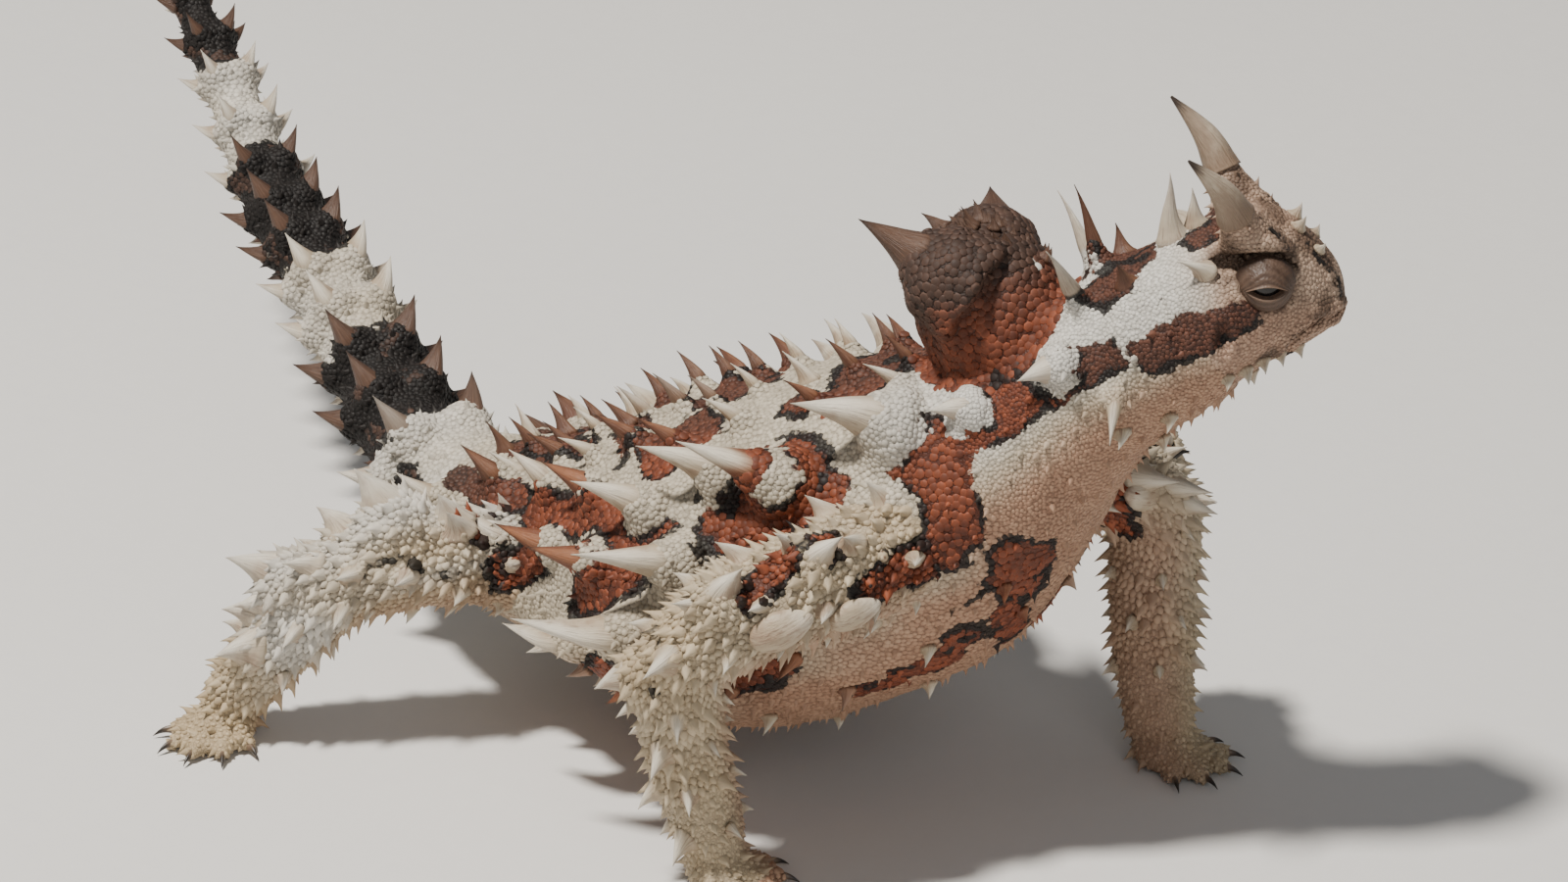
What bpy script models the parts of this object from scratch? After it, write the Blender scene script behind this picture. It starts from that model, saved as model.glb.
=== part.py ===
"""Thorny devil (Moloch horridus), a still, life-size model of the whole lizard.

The animal stands on four feet, chest raised, head turned to its left and tail lifted.
Lengths here are millimetres in the animal's own frame: +X runs ahead along the trunk,
+Y is the animal's left and +Z is up from the ground. finish_model() then moves the whole
model so that the middle of its bounding box, at ground level, is the origin, in metres.

Every soft part is a loft along a line of oval sections. Neighbours on one line are parted
by thin flat cuts, and a limb is cut back to the trunk's own surface.
"""
import bpy
import bmesh
import math
import random
from mathutils import Vector

MM = 0.001
GAP = 0.3
SEED = 11

TRUNK_SIDES = 16
TAIL_SIDES = 10
LIMB_SIDES = 9

# Sections of the body from the tail tip to the neck: place x y z, half width, height of the
# back and depth of the belly from that place, then pitch and yaw of the section's axis.
BODY_ROWS = [
    (-96.0, 39.2, 47.0, 1.0, 1.0, 1.0, -37, -26),
    (-89.6, 36.1, 41.8, 1.8, 1.8, 1.8, -35, -26),
    (-83.8, 33.2, 37.6, 2.3, 2.3, 2.3, -32, -29),
    (-77.0, 29.2, 33.0, 2.7, 2.7, 2.7, -29, -32),
    (-71.0, 25.3, 29.3, 3.1, 3.0, 3.0, -23, -32),
    (-64.6, 21.5, 26.9, 3.4, 3.3, 3.3, -16, -31),
    (-53.1, 14.8, 23.5, 3.9, 3.8, 3.8, -14, -32),
    (-41.2, 6.9, 20.0, 4.4, 4.2, 4.2, -11, -33),
    (-33.0, 1.6, 18.4, 5.2, 4.8, 4.8, -4, -29),
    (-27.0, 0.0, 17.0, 7.2, 6.0, 6.0, 2, -12),
    (-20.0, 0.0, 15.2, 10.5, 8.6, 7.0, 5, 0),
    (-12.0, 0.0, 15.0, 12.8, 11.4, 8.0, 8, 0),
    (-4.0, 0.0, 15.5, 16.0, 14.6, 9.4, 14, 0),
    (4.0, 0.0, 17.0, 20.3, 17.0, 11.8, 20, 0),
    (12.0, 0.0, 19.5, 21.8, 18.0, 13.2, 24, 0),
    (20.0, 0.0, 24.0, 19.8, 17.6, 13.6, 27, 0),
    (28.0, 0.0, 30.0, 15.8, 15.2, 13.8, 31, 0),
    (36.0, 0.3, 37.0, 11.8, 11.7, 10.4, 36, 8),
    (41.0, 2.2, 43.5, 9.3, 9.4, 7.8, 42, 20),
    (45.5, 4.0, 48.0, 8.2, 9.0, 7.2, 36, 30),
    (49.8, 6.0, 51.5, 8.0, 8.5, 7.2, 22, 38),
]
# Where the body is parted, counted in sections from the tail tip.
TAIL_TIP_END = 3.0
TAIL_MIDDLE_END = 5.6
TAIL_BASE_END = 8.6
TORSO_END = 18.0
NECK_END = 20.0

# The head has its own frame: ahead to the snout, left, and up, turned and raised as a whole.
HEAD_PLACE = Vector((54.9, 10.0, 56.5))
HEAD_YAW = 38.0
# Head sections: ahead, height of the middle, half width, up, down and tilt.
HEAD_ROWS = [
    (-6.5, -5.0, 8.0, 8.5, 7.2, 22),
    (-4.0, -3.2, 8.0, 8.2, 6.8, 14),
    (-1.5, -2.0, 7.4, 8.3, 6.6, 7),
    (1.0, -1.6, 6.6, 8.1, 5.8, 2),
    (3.2, -1.6, 5.4, 6.6, 5.0, 0),
    (5.0, -1.8, 4.2, 4.9, 3.9, -2),
    (6.3, -2.0, 3.1, 3.3, 2.9, -4),
    (7.1, -2.2, 1.7, 1.6, 1.6, -5),
]
EYE_PLACE = (-0.5, 5.2, 1.5)
LID_RADIUS = 2.6
EYE_RADIUS = 1.9
LID_SLIT = (2.25, 0.62)
HORN_ROWS = [
    (-0.6, 2.4, 1.6, 2.6),
    (-1.3, 3.4, 4.5, 3.1),
    (-2.4, 4.9, 7.2, 2.15),
    (-4.5, 6.3, 10.8, 1.25),
    (-7.7, 7.4, 14.1, 0.12),
]
HORN_CUT = 2.0

# Limbs: place x y z and radius from inside the trunk to the wrist or ankle.
LIMBS = {
    "arm_right": dict(rows=[(36.0, -2.5, 34.0, 4.8), (27, -18.5, 30, 5.0), (19.2, -26.3, 24.6, 4.2),
                            (17.4, -26.0, 16.5, 3.8), (18.2, -24.8, 9.5, 3.6), (19.3, -23.7, 3.2, 3.1)],
                      wrist=4.6, heading=-6, names=("upper_arm", "forearm", "hand")),
    "arm_left": dict(rows=[(34.8, 2.5, 33.0, 4.8), (35.8, 14.5, 30, 5.0), (37.0, 21.2, 24, 4.5),
                           (37.8, 20.6, 16, 4.1), (38.9, 19.4, 9.5, 3.8), (40.3, 18.7, 3.2, 3.3)],
                     wrist=4.6, heading=14, names=("upper_arm", "forearm", "hand")),
    "leg_right": dict(rows=[(-11, -5, 16, 4.6), (-18, -14.2, 18, 4.5), (-25.6, -20.4, 16.2, 4.2),
                            (-30.4, -23.8, 9.6, 3.5), (-35.1, -26.8, 3.0, 2.8)],
                      wrist=3.55, heading=-84, names=("thigh", "shin", "foot")),
    "leg_left": dict(rows=[(-11, 5, 16, 4.6), (-7, 15.0, 18.2, 4.5), (-3.4, 23.8, 16.0, 4.2),
                           (-6.6, 27.2, 9.6, 3.5), (-11.2, 30.2, 3.0, 2.8)],
                     wrist=3.55, heading=62, names=("thigh", "shin", "foot")),
}
# Every limb bends, and is parted, at its third row.
LIMB_BEND = 2.0
TOE_SPREAD = (-58, -30, -4, 22, 50)
TOE_LENGTH = (4.0, 5.0, 5.4, 5.0, 3.9)
TOE_RADIUS = 0.95
CLAW_LENGTH = 1.7
PAD = (3.6, 3.2, 2.3)

# Form of a thorn: flare of its base and width of its middle as shares of its radius, place of
# the middle as a share of its height, least depth of its root and that depth as a share of
# the radius. A thorn lower than PLAIN_THORN is a plain cone.
THORN_FLARE = 1.12
THORN_SLIM = 0.46
THORN_MIDDLE = 0.40
THORN_ROOT = (0.7, 0.35)
PLAIN_THORN = 2.6
WIDE_THORN = 2.4
# Room left round a thorn: to the cuts, the floor and the limbs, which count from where they
# leave the trunk.
CUT_CLEARANCE = 0.22
FLOOR_CLEARANCE = 0.5
LIMB_CLEARANCE = 0.8
LIMB_SAMPLES = 8
LIMB_OUTSIDE = 5

# Big thorns of the trunk on either side: place along the body, angle from the back, height,
# radius of the base, lean towards the tail and turn of that lean towards the back.
TRUNK_THORNS = [
    (16.62, 44, 9.6, 3.5, 50, 8),
    (15.62, 54, 10.8, 3.4, 52, 20),
    (14.90, 44, 8.6, 2.7, 46, 5),
    (14.45, 66, 10.2, 2.8, 50, 8),
    (13.95, 47, 7.8, 2.5, 44, 8),
    (13.72, 82, 11.6, 2.9, 52, 26),
    (13.10, 62, 6.6, 2.2, 44, 15),
    (12.80, 40, 6.2, 2.1, 38, 20),
    (12.50, 88, 7.6, 2.4, 50, 22),
    (12.00, 60, 6.2, 2.1, 42, 20),
    (11.55, 36, 5.6, 2.0, 36, 25),
    (10.95, 62, 5.4, 1.9, 42, 25),
    (10.40, 34, 5.2, 1.9, 34, 20),
    (9.55, 58, 5.0, 1.9, 36, 20),
    (15.05, 98, 3.6, 1.3, 36, -40),
    (17.40, 50, 3.8, 2.2, 60, 10),
]
# Rows of small thorns of the trunk: angle, first place, last place, step, height, radius, lean.
TRUNK_ROWS = [
    (11, 10.0, 17.0, 0.60, 4.3, 1.35, 22),
    (25, 10.6, 16.9, 0.86, 4.6, 1.55, 32),
    (112, 11.5, 16.4, 0.74, 2.4, 1.1, 34),
    (136, 12.0, 16.8, 0.80, 1.9, 0.95, 30),
    (162, 12.2, 17.0, 1.10, 1.3, 0.85, 20),
]
NECK_THORNS = [
    (18.45, 54, 3.8, 2.3, 60, 5),
    (18.85, 86, 4.8, 1.5, 42, -50),
    (19.52, 24, 2.8, 1.1, -18, 0),
    (18.60, 112, 1.6, 0.9, 30, 0),
    (19.20, 124, 1.4, 0.8, 30, 0),
    (18.80, 150, 1.2, 0.8, 25, 0),
]
NAPE_THORNS = [(19.02, 22, 7.3, 1.45, -18, 0), (19.15, -26, 7.8, 1.2, -6, 0), (19.30, -12, 7.6, 1.2, -18, 0)]
# The head's own thorns, in the same form, and the unpaired ones at the back of the skull.
HEAD_THORNS = [
    (0.90, 40, 3.0, 1.2, 40, 20),
    (3.85, 13, 1.3, 0.75, 5, 0),
    (4.75, 24, 0.9, 0.6, 10, 0),
    (0.75, 120, 1.2, 0.7, 30, 0),
    (1.50, 128, 1.3, 0.75, 20, 0),
    (2.25, 130, 1.2, 0.7, 15, 0),
    (3.00, 136, 1.1, 0.65, 10, 0),
    (3.85, 142, 1.0, 0.6, 5, 0),
    (1.80, 156, 1.0, 0.7, 15, 0),
]
SKULL_THORNS = [
    (0.50, 0, 6.2, 1.45, -32, 0),
    (1.00, -4, 3.4, 1.1, -26, 0),
]
# The line of the mouth: place along the head and height, from the corner to the snout.
MOUTH = [(3.3, -5.4), (3.65, -3.9), (4.3, -3.0), (5.0, -2.65), (6.0, -2.75), (6.9, -3.0)]
MOUTH_GROOVE = (0.30, 0.60)
LIP_RADIUS = 0.85
LIP_SINK = 0.42
NOSTRIL = (5.75, 52, 0.42)
EAR = (0.95, 86, (1.0, 0.55, 1.4))

# Rings of tail thorns: angle, height at the root of the tail, height at its tip.
TAIL_THORNS = [(34, 5.4, 2.5), (84, 4.7, 2.2), (134, 2.0, 1.0)]
TAIL_RING_STEPS = (7.4, 5.2)
TAIL_THORN_WIDTH = 0.46
TAIL_THORN_LEAN = 26

KNOB_PLACE = Vector((33.0, 0.3, 50.6))
KNOB_HALF = (7.4, 6.4, 9.0)
KNOB_PITCH = 34.0
KNOB_CLEARANCE = 1.06
# The knob's two big thorns: place on it (ahead, left, up), direction, height and radius.
KNOB_THORNS = [((0.0, -0.68, 0.73), (-0.82, -0.29, 0.49), 7.8, 3.9),
               ((0.05, 0.70, 0.71), (-0.48, 0.76, 0.30), 6.4, 3.4)]
KNOB_CREST = [(-0.45, 0.0, 2.0), (-0.1, 0.0, 2.4), (0.35, 0.1, 1.9), (-0.30, 0.45, 1.7), (0.12, 0.42, 1.9),
              (0.55, 0.38, 1.5), (0.45, 0.80, 1.5)]

# Thorns of the limbs: spacing along the limb, number round it, height where the limb is
# exposed, height on its sheltered side and radius of the base as a share of the height.
LIMB_THORN_STEP = 4.7
LIMB_THORNS_ROUND = 5
LIMB_THORN_HEIGHTS = (2.9, 1.2)
LIMB_THORN_WIDTH = 0.46
# Tall thorns and scutes of one limb: place along it, direction they face, height, radius, lean.
# A key that ends in _left holds thorns that only the left limb has.
TALL_LIMB_THORNS = {
    "upper_arm": [(1.55, (0.0, 0.75, 0.65), 3.8, 1.7, 45), (1.0, (0.1, 0.8, 0.55), 3.2, 1.7, 50),
                  (1.35, (0.2, 0.95, -0.25), 3.2, 2.3, 60), (0.95, (0.3, 0.9, -0.4), 2.6, 1.9, 60)],
    "upper_arm_left": [(1.25, (0.97, 0.0, 0.15), 4.6, 1.5, 10), (1.55, (0.97, 0.1, -0.1), 4.0, 1.4, 14),
                       (0.92, (0.95, -0.05, 0.2), 3.4, 1.3, 10), (1.85, (0.9, 0.35, 0.0), 2.2, 1.0, 20)],
    "forearm": [(2.45, (-0.7, 0.6, 0.3), 3.6, 1.7, 25)],
    "thigh": [(1.45, (-0.2, 0.1, 1.0), 4.8, 2.1, 22), (1.0, (0.0, 0.25, 1.0), 2.4, 1.2, 20)],
    "shin": [(2.4, (-0.5, 0.4, 0.9), 4.4, 1.7, 15), (2.85, (-0.4, 0.5, 0.75), 2.8, 1.3, 20)],
}

COLOURS = {
    "pale skin": (0.72, 0.66, 0.55),
    "horn": (0.70, 0.64, 0.52),
    "eye": (0.02, 0.015, 0.01),
    "rufous": (0.38, 0.15, 0.08),
}


def clear_scene():
    for thing in list(bpy.data.objects):
        bpy.data.objects.remove(thing, do_unlink=True)


def material(name, roughness):
    made = bpy.data.materials.get(name)
    if made is None:
        made = bpy.data.materials.new(name)
        made.use_nodes = True
        shader = made.node_tree.nodes["Principled BSDF"]
        shader.inputs["Base Color"].default_value = (*COLOURS[name], 1.0)
        shader.inputs["Roughness"].default_value = roughness
    return made


def smooth_row(rows, s):
    """The row at place s of a smooth curve through all the rows."""
    first = int(min(max(math.floor(s), 0), len(rows) - 2))
    t = s - first
    before = rows[max(first - 1, 0)]
    start = rows[first]
    end = rows[first + 1]
    after = rows[min(first + 2, len(rows) - 1)]
    row = []
    for a, b, c, d in zip(before, start, end, after):
        row.append(0.5 * (2 * b + (c - a) * t + (2 * a - 5 * b + 4 * c - d) * t * t
                          + (3 * b - a - 3 * c + d) * t ** 3))
    return row


class BodyLine:
    """Oval sections along the tail, trunk and neck; an angle is counted from the back."""

    rows = BODY_ROWS

    def frame(self, s):
        row = smooth_row(self.rows, s)
        pitch = math.radians(row[6])
        yaw = math.radians(row[7])
        ahead = Vector((math.cos(pitch) * math.cos(yaw), math.cos(pitch) * math.sin(yaw), math.sin(pitch)))
        left = Vector((-math.sin(yaw), math.cos(yaw), 0.0))
        return Vector(row[:3]), ahead, left, ahead.cross(left)

    def radii(self, s):
        return smooth_row(self.rows, s)[3:6]

    def point(self, s, angle, grow=0.0, shift=0.0):
        centre, ahead, left, up = self.frame(s)
        width, back, belly = self.radii(s)
        turn = math.radians(angle)
        height = back if math.cos(turn) > 0 else belly
        return (centre + ahead * shift - left * (width + grow) * math.sin(turn)
                + up * (height + grow) * math.cos(turn))

    def outward(self, s, angle):
        along = self.point(s + 0.02, angle) - self.point(s - 0.02, angle)
        around = self.point(s, angle + 1.0) - self.point(s, angle - 1.0)
        normal = along.cross(around).normalized()
        if normal.dot(self.point(s, angle) - self.frame(s)[0]) < 0:
            normal = -normal
        return normal


class HeadLine(BodyLine):
    """The head's sections, in the same form, turned into the animal's frame."""

    rows = HEAD_ROWS

    def frame(self, s):
        row = smooth_row(self.rows, s)
        tilt = math.radians(row[5])
        ahead = HEAD_AHEAD * math.cos(tilt) + HEAD_UP * math.sin(tilt)
        return head_point(row[0], 0.0, row[1]), ahead, HEAD_LEFT, ahead.cross(HEAD_LEFT)

    def radii(self, s):
        return smooth_row(self.rows, s)[2:5]


class LimbLine(BodyLine):
    """Round sections square to a limb's own curve."""

    def __init__(self, rows):
        self.rows = [tuple(row) for row in rows]

    def frame(self, s):
        row = smooth_row(self.rows, s)
        last = len(self.rows) - 1
        ahead_row = smooth_row(self.rows, min(s + 0.05, last))
        behind_row = smooth_row(self.rows, max(s - 0.05, 0))
        ahead = (Vector(ahead_row[:3]) - Vector(behind_row[:3])).normalized()
        side = (Vector((1, 0, 0)) - ahead * ahead.x).normalized()
        return Vector(row[:3]), ahead, side, ahead.cross(side)

    def radii(self, s):
        radius = smooth_row(self.rows, s)[3]
        return radius, radius, radius


HEAD_AHEAD = Vector((math.cos(math.radians(HEAD_YAW)), math.sin(math.radians(HEAD_YAW)), 0.0))
HEAD_LEFT = Vector((-HEAD_AHEAD.y, HEAD_AHEAD.x, 0.0))
HEAD_UP = Vector((0.0, 0.0, 1.0))


def head_point(ahead, left, up):
    return HEAD_PLACE + HEAD_AHEAD * ahead + HEAD_LEFT * left + HEAD_UP * up


def solid(name, points, faces):
    """A closed mesh object from points in millimetres, its faces triangles that point out."""
    mesh = bpy.data.meshes.new(name)
    mesh.from_pydata([tuple(p * MM) for p in points], [], faces)
    work = bmesh.new()
    work.from_mesh(mesh)
    bmesh.ops.triangulate(work, faces=work.faces)
    bmesh.ops.recalc_face_normals(work, faces=work.faces)
    work.to_mesh(mesh)
    work.free()
    made = bpy.data.objects.new(name, mesh)
    bpy.context.scene.collection.objects.link(made)
    return made


def skin_rings(name, rings):
    """A closed solid over rings that all have the same number of points."""
    sides = len(rings[0])
    points = [p for ring in rings for p in ring]
    faces = [tuple(range(sides))]
    for r in range(len(rings) - 1):
        for k in range(sides):
            a = r * sides + k
            b = r * sides + (k + 1) % sides
            faces.append((a, b, b + sides, a + sides))
    faces.append(tuple(range((len(rings) - 1) * sides, len(rings) * sides)))
    return solid(name, points, faces)


def loft(name, line, start, end, sides, step=1.0, clear=0.3, grow=0.0, start_gap=GAP / 2, end_gap=GAP / 2):
    """A loft between two places of a line, its ends flat and half a gap short of the cuts.

    Sections stand one step apart, and none stands closer than clear to an end.
    """
    places = [(start, start_gap)]
    s = math.floor(start / step) * step
    while s < end - clear:
        if s > start + clear:
            places.append((s, 0.0))
        s += step
    places.append((end, -end_gap))
    rings = []
    for place, shift in places:
        rings.append([line.point(place, 360.0 * k / sides, grow, shift) for k in range(sides)])
    return skin_rings(name, rings)


def ball(name, place, half, axes=None, segments=12, rings=8):
    """An ellipsoid with the given half sizes along three axes."""
    ahead, left, up = axes or (Vector((1, 0, 0)), Vector((0, 1, 0)), Vector((0, 0, 1)))
    bpy.ops.mesh.primitive_uv_sphere_add(segments=segments, ring_count=rings, radius=1.0)
    made = bpy.context.object
    made.name = name
    for vertex in made.data.vertices:
        c = vertex.co
        vertex.co = (place + ahead * (c.x * half[0]) + left * (c.y * half[1]) + up * (c.z * half[2])) * MM
    return made


def thorn(root, outward, back, height, radius, lean=30.0, curl=14.0, sides=5, sink=None):
    """A spine: a wide base sunk in the skin, a slim shaft that leans back and a sharp tip.

    A short one is a plain cone.
    """
    back = (back - outward * back.dot(outward)).normalized()
    across = outward.cross(back)
    low = math.radians(lean)
    high = math.radians(lean + curl)
    shaft = outward * math.cos(low) + back * math.sin(low)
    point = outward * math.cos(high) + back * math.sin(high)
    depth = sink if sink is not None else max(THORN_ROOT[0], THORN_ROOT[1] * radius)
    middle = root + shaft * (THORN_MIDDLE * height)
    tip = middle + point * ((1.0 - THORN_MIDDLE) * height)
    base = radius * THORN_FLARE
    slim = radius * THORN_SLIM
    face_back = (back - shaft * back.dot(shaft)).normalized()
    points = []
    for k in range(sides):
        turn = 2 * math.pi * k / sides
        points.append(root - outward * depth + (back * math.cos(turn) + across * math.sin(turn)) * base)
    for k in range(sides):
        turn = 2 * math.pi * k / sides
        points.append(middle + (face_back * math.cos(turn) + across * math.sin(turn)) * slim)
    points.append(tip)
    faces = [tuple(range(sides))]
    if height < PLAIN_THORN:
        points = points[:sides] + [tip]
        faces += [(k, (k + 1) % sides, sides) for k in range(sides)]
    else:
        for k in range(sides):
            n = (k + 1) % sides
            faces.append((k, n, n + sides, k + sides))
            faces.append((k + sides, n + sides, 2 * sides))
    return solid("thorn", points, faces)


def evaluated(thing):
    """The object's mesh with its modifiers carried out."""
    bpy.context.view_layer.update()
    graph = bpy.context.evaluated_depsgraph_get()
    mesh = bpy.data.meshes.new_from_object(thing.evaluated_get(graph))
    thing.modifiers.clear()
    thing.data = mesh
    return thing


def combine(base, pieces, operation):
    """One Boolean of the base with a collection of closed pieces, which are then removed."""
    if not pieces:
        return base
    group = bpy.data.collections.new("pieces")
    bpy.context.scene.collection.children.link(group)
    for piece in pieces:
        for holder in list(piece.users_collection):
            holder.objects.unlink(piece)
        group.objects.link(piece)
    join = base.modifiers.new("join", "BOOLEAN")
    join.operation = operation
    join.operand_type = "COLLECTION"
    join.collection = group
    join.solver = "EXACT"
    evaluated(base)
    for piece in pieces:
        bpy.data.objects.remove(piece, do_unlink=True)
    bpy.data.collections.remove(group)
    return keep_largest(base)


def keep_largest(thing):
    """Only the largest closed surface of a mesh stays."""
    work = bmesh.new()
    work.from_mesh(thing.data)
    bmesh.ops.remove_doubles(work, verts=work.verts, dist=0.000002)
    bmesh.ops.triangulate(work, faces=work.faces)
    left = set(work.faces)
    shells = []
    while left:
        shell = set()
        edge_of_search = [left.pop()]
        while edge_of_search:
            face = edge_of_search.pop()
            shell.add(face)
            for edge in face.edges:
                for other in edge.link_faces:
                    if other in left:
                        left.remove(other)
                        edge_of_search.append(other)
        shells.append(shell)
    shells.sort(key=len, reverse=True)
    for shell in shells[1:]:
        bmesh.ops.delete(work, geom=list(shell), context="FACES")
    loose = [v for v in work.verts if not v.link_faces]
    bmesh.ops.delete(work, geom=loose, context="VERTS")
    work.to_mesh(thing.data)
    work.free()
    return thing


def finish_piece(thing, name, colour, roughness=0.6):
    thing.name = name
    thing.data.name = name
    thing.data.materials.clear()
    thing.data.materials.append(material(colour, roughness))
    thing.data.shade_smooth()
    thing.data.set_sharp_from_angle(angle=math.radians(35))
    return thing


def line_thorn(line, s, angle, height, radius, lean, turn=0.0, curl=14.0, sides=5):
    """A thorn set on a line's surface, leaning back along it and turned towards the back."""
    root = line.point(s, angle)
    outward = line.outward(s, angle)
    back = -line.frame(s)[1]
    back = (back - outward * back.dot(outward)).normalized()
    rise = back.cross(outward)
    if rise.dot(line.frame(s)[3]) < 0:
        rise = -rise
    swing = math.radians(turn)
    back = back * math.cos(swing) + rise * math.sin(swing)
    return thorn(root, outward, back, height, radius, lean, curl, sides)


class Room:
    """The space that a node's thorns may fill: between its cuts, clear of what stands near."""

    def __init__(self, line, start, end, limbs=(), knob=False):
        self.limbs = limbs
        self.knob = knob
        self.planes = []
        for place, sense in ((start, 1.0), (end, -1.0)):
            if place is not None:
                centre, ahead = line.frame(place)[:2]
                self.planes.append((centre, ahead * sense))

    def holds(self, piece):
        points = [v.co / MM for v in piece.data.vertices]
        if min(p.z for p in points) < FLOOR_CLEARANCE:
            return False
        for centre, inwards in self.planes:
            if min((p - centre).dot(inwards) for p in points) < CUT_CLEARANCE:
                return False
        for limb in self.limbs:
            for k in range(LIMB_OUTSIDE, LIMB_SAMPLES * (len(limb.rows) - 1) + 1):
                centre = limb.frame(k / LIMB_SAMPLES)[0]
                reach = limb.radii(k / LIMB_SAMPLES)[0] + LIMB_CLEARANCE
                if min((p - centre).length for p in points) < reach:
                    return False
        if self.knob:
            ahead, left, up = knob_axes()
            for p in points:
                away = p - KNOB_PLACE
                share = [away.dot(axis) / half for axis, half in zip((ahead, left, up), KNOB_HALF)]
                if sum(x * x for x in share) < KNOB_CLEARANCE ** 2:
                    return False
        return True

    def keep(self, pieces):
        """The pieces that have room; the others are removed."""
        kept = []
        for piece in pieces:
            if self.holds(piece):
                kept.append(piece)
            else:
                bpy.data.objects.remove(piece, do_unlink=True)
        return kept


def all_limbs():
    return [LimbLine(limb["rows"]) for limb in LIMBS.values()]


def trunk_cutter(body):
    return loft("cutter", body, TAIL_BASE_END, NECK_END, TRUNK_SIDES, grow=GAP)


def make_torso(body):
    base = loft("torso", body, TAIL_BASE_END, TORSO_END, TRUNK_SIDES)
    draw = random.Random(SEED)
    pieces = []
    for side in (-1, 1):
        for s, angle, height, radius, lean, turn in TRUNK_THORNS:
            wide = 6 if radius > WIDE_THORN else 5
            pieces.append(line_thorn(body, s, side * angle, height, radius, lean, turn, 14, wide))
        for angle, first, last, step, height, radius, lean in TRUNK_ROWS:
            for k in range(int((last - first) / step) + 1):
                s = first + step * k + draw.uniform(-0.06, 0.06)
                size = draw.uniform(0.85, 1.12) * (0.75 + 0.25 * math.sin(math.pi * (s - 9.5) / 8.5))
                place = angle + draw.uniform(-2.5, 2.5)
                pieces.append(line_thorn(body, s, side * place, height * size, radius * size, lean))
    room = Room(body, TAIL_BASE_END, TORSO_END, all_limbs(), knob=True)
    combine(base, room.keep(pieces), "UNION")
    return finish_piece(base, "torso", "pale skin")


def make_neck(body):
    base = loft("neck", body, TORSO_END, NECK_END, TRUNK_SIDES, step=0.5)
    pieces = []
    for side in (-1, 1):
        for s, angle, height, radius, lean, turn in NECK_THORNS:
            pieces.append(line_thorn(body, s, side * angle, height, radius, lean, turn))
    pieces += [line_thorn(body, *row) for row in NAPE_THORNS]
    room = Room(body, TORSO_END, NECK_END, all_limbs(), knob=True)
    combine(base, room.keep(pieces), "UNION")
    return finish_piece(base, "neck", "pale skin")


def make_tail(body):
    cuts = (0.0, TAIL_TIP_END, TAIL_MIDDLE_END, TAIL_BASE_END)
    rings = tail_rings(body)
    for name, start, end in zip(("tail_tip", "tail_middle", "tail_base"), cuts, cuts[1:]):
        base = loft(name, body, start, end, TAIL_SIDES)
        pieces = []
        for s in rings:
            if start < s < end:
                share = s / TAIL_BASE_END
                for angle, root_height, tip_height in TAIL_THORNS:
                    height = tip_height + (root_height - tip_height) * share
                    radius = TAIL_THORN_WIDTH * height
                    for side in (-1, 1):
                        pieces.append(line_thorn(body, s, side * angle, height, radius, TAIL_THORN_LEAN))
        combine(base, Room(body, start, end, all_limbs()).keep(pieces), "UNION")
        finish_piece(base, name, "pale skin")


def tail_rings(body):
    """Places of the tail's rings of thorns, closer together towards the tip."""
    rings = []
    s = TAIL_BASE_END - 0.25
    while s > 0.35:
        rings.append(s)
        share = s / TAIL_BASE_END
        step = TAIL_RING_STEPS[1] + (TAIL_RING_STEPS[0] - TAIL_RING_STEPS[1]) * share
        stretch = (body.frame(s)[0] - body.frame(max(s - 0.2, 0))[0]).length / 0.2
        s -= step / stretch
    return rings


def knob_axes():
    pitch = math.radians(KNOB_PITCH)
    ahead = Vector((math.cos(pitch), 0, math.sin(pitch)))
    return ahead, Vector((0, 1, 0)), Vector((-math.sin(pitch), 0, math.cos(pitch)))


def knob_point(ahead, left, up):
    """The knob's surface point and outward direction, towards the given direction."""
    share = Vector((ahead, left, up)).normalized()
    axes = knob_axes()
    place = KNOB_PLACE.copy()
    outward = Vector((0, 0, 0))
    for axis, half, part in zip(axes, KNOB_HALF, share):
        place += axis * (half * part)
        outward += axis * (part / half)
    return place, outward.normalized()


def make_knob(body):
    base = ball("nape_knob", KNOB_PLACE, KNOB_HALF, knob_axes(), 12, 8)
    pieces = []
    for place, direction, height, radius in KNOB_THORNS:
        root = knob_point(*place)[0]
        shaft = Vector(direction).normalized()
        pieces.append(thorn(root, shaft, Vector((-1, 0, 0)), height, radius, 0, 4, 6, sink=1.8))
    for ahead, left, height in KNOB_CREST:
        for side in ((-1, 1) if left else (1,)):
            root, outward = knob_point(ahead, side * left, 0.8)
            pieces.append(thorn(root, outward, Vector((-1, 0, 0)), height, 0.45 * height, 20))
    combine(base, pieces, "UNION")
    combine(base, [trunk_cutter(body)], "DIFFERENCE")
    return finish_piece(base, "nape_knob", "rufous")


def mouth_tube(head, half_height, half_depth, sink, sides):
    """A tube along the line of the mouth, from one corner round the snout to the other."""
    path = []
    for k in range(2 * len(MOUTH) - 1):
        s, height = smooth_row(MOUTH, k / 2)
        row = smooth_row(HEAD_ROWS, s)
        angle = math.degrees(math.acos(max(-1.0, (height - row[1]) / row[4])))
        path.append((s, angle))
    path += [(s, -angle) for s, angle in reversed(path)]
    places = [head.point(s, angle) - head.outward(s, angle) * sink for s, angle in path]
    rings = []
    for k, (s, angle) in enumerate(path):
        along = (places[min(k + 1, len(path) - 1)] - places[max(k - 1, 0)]).normalized()
        outward = head.outward(s, angle)
        outward = (outward - along * outward.dot(along)).normalized()
        rise = along.cross(outward)
        turns = [2 * math.pi * n / sides for n in range(sides)]
        rings.append([places[k] + outward * (half_depth * math.cos(a)) + rise * (half_height * math.sin(a))
                      for a in turns])
    return skin_rings("mouth", rings)


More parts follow.
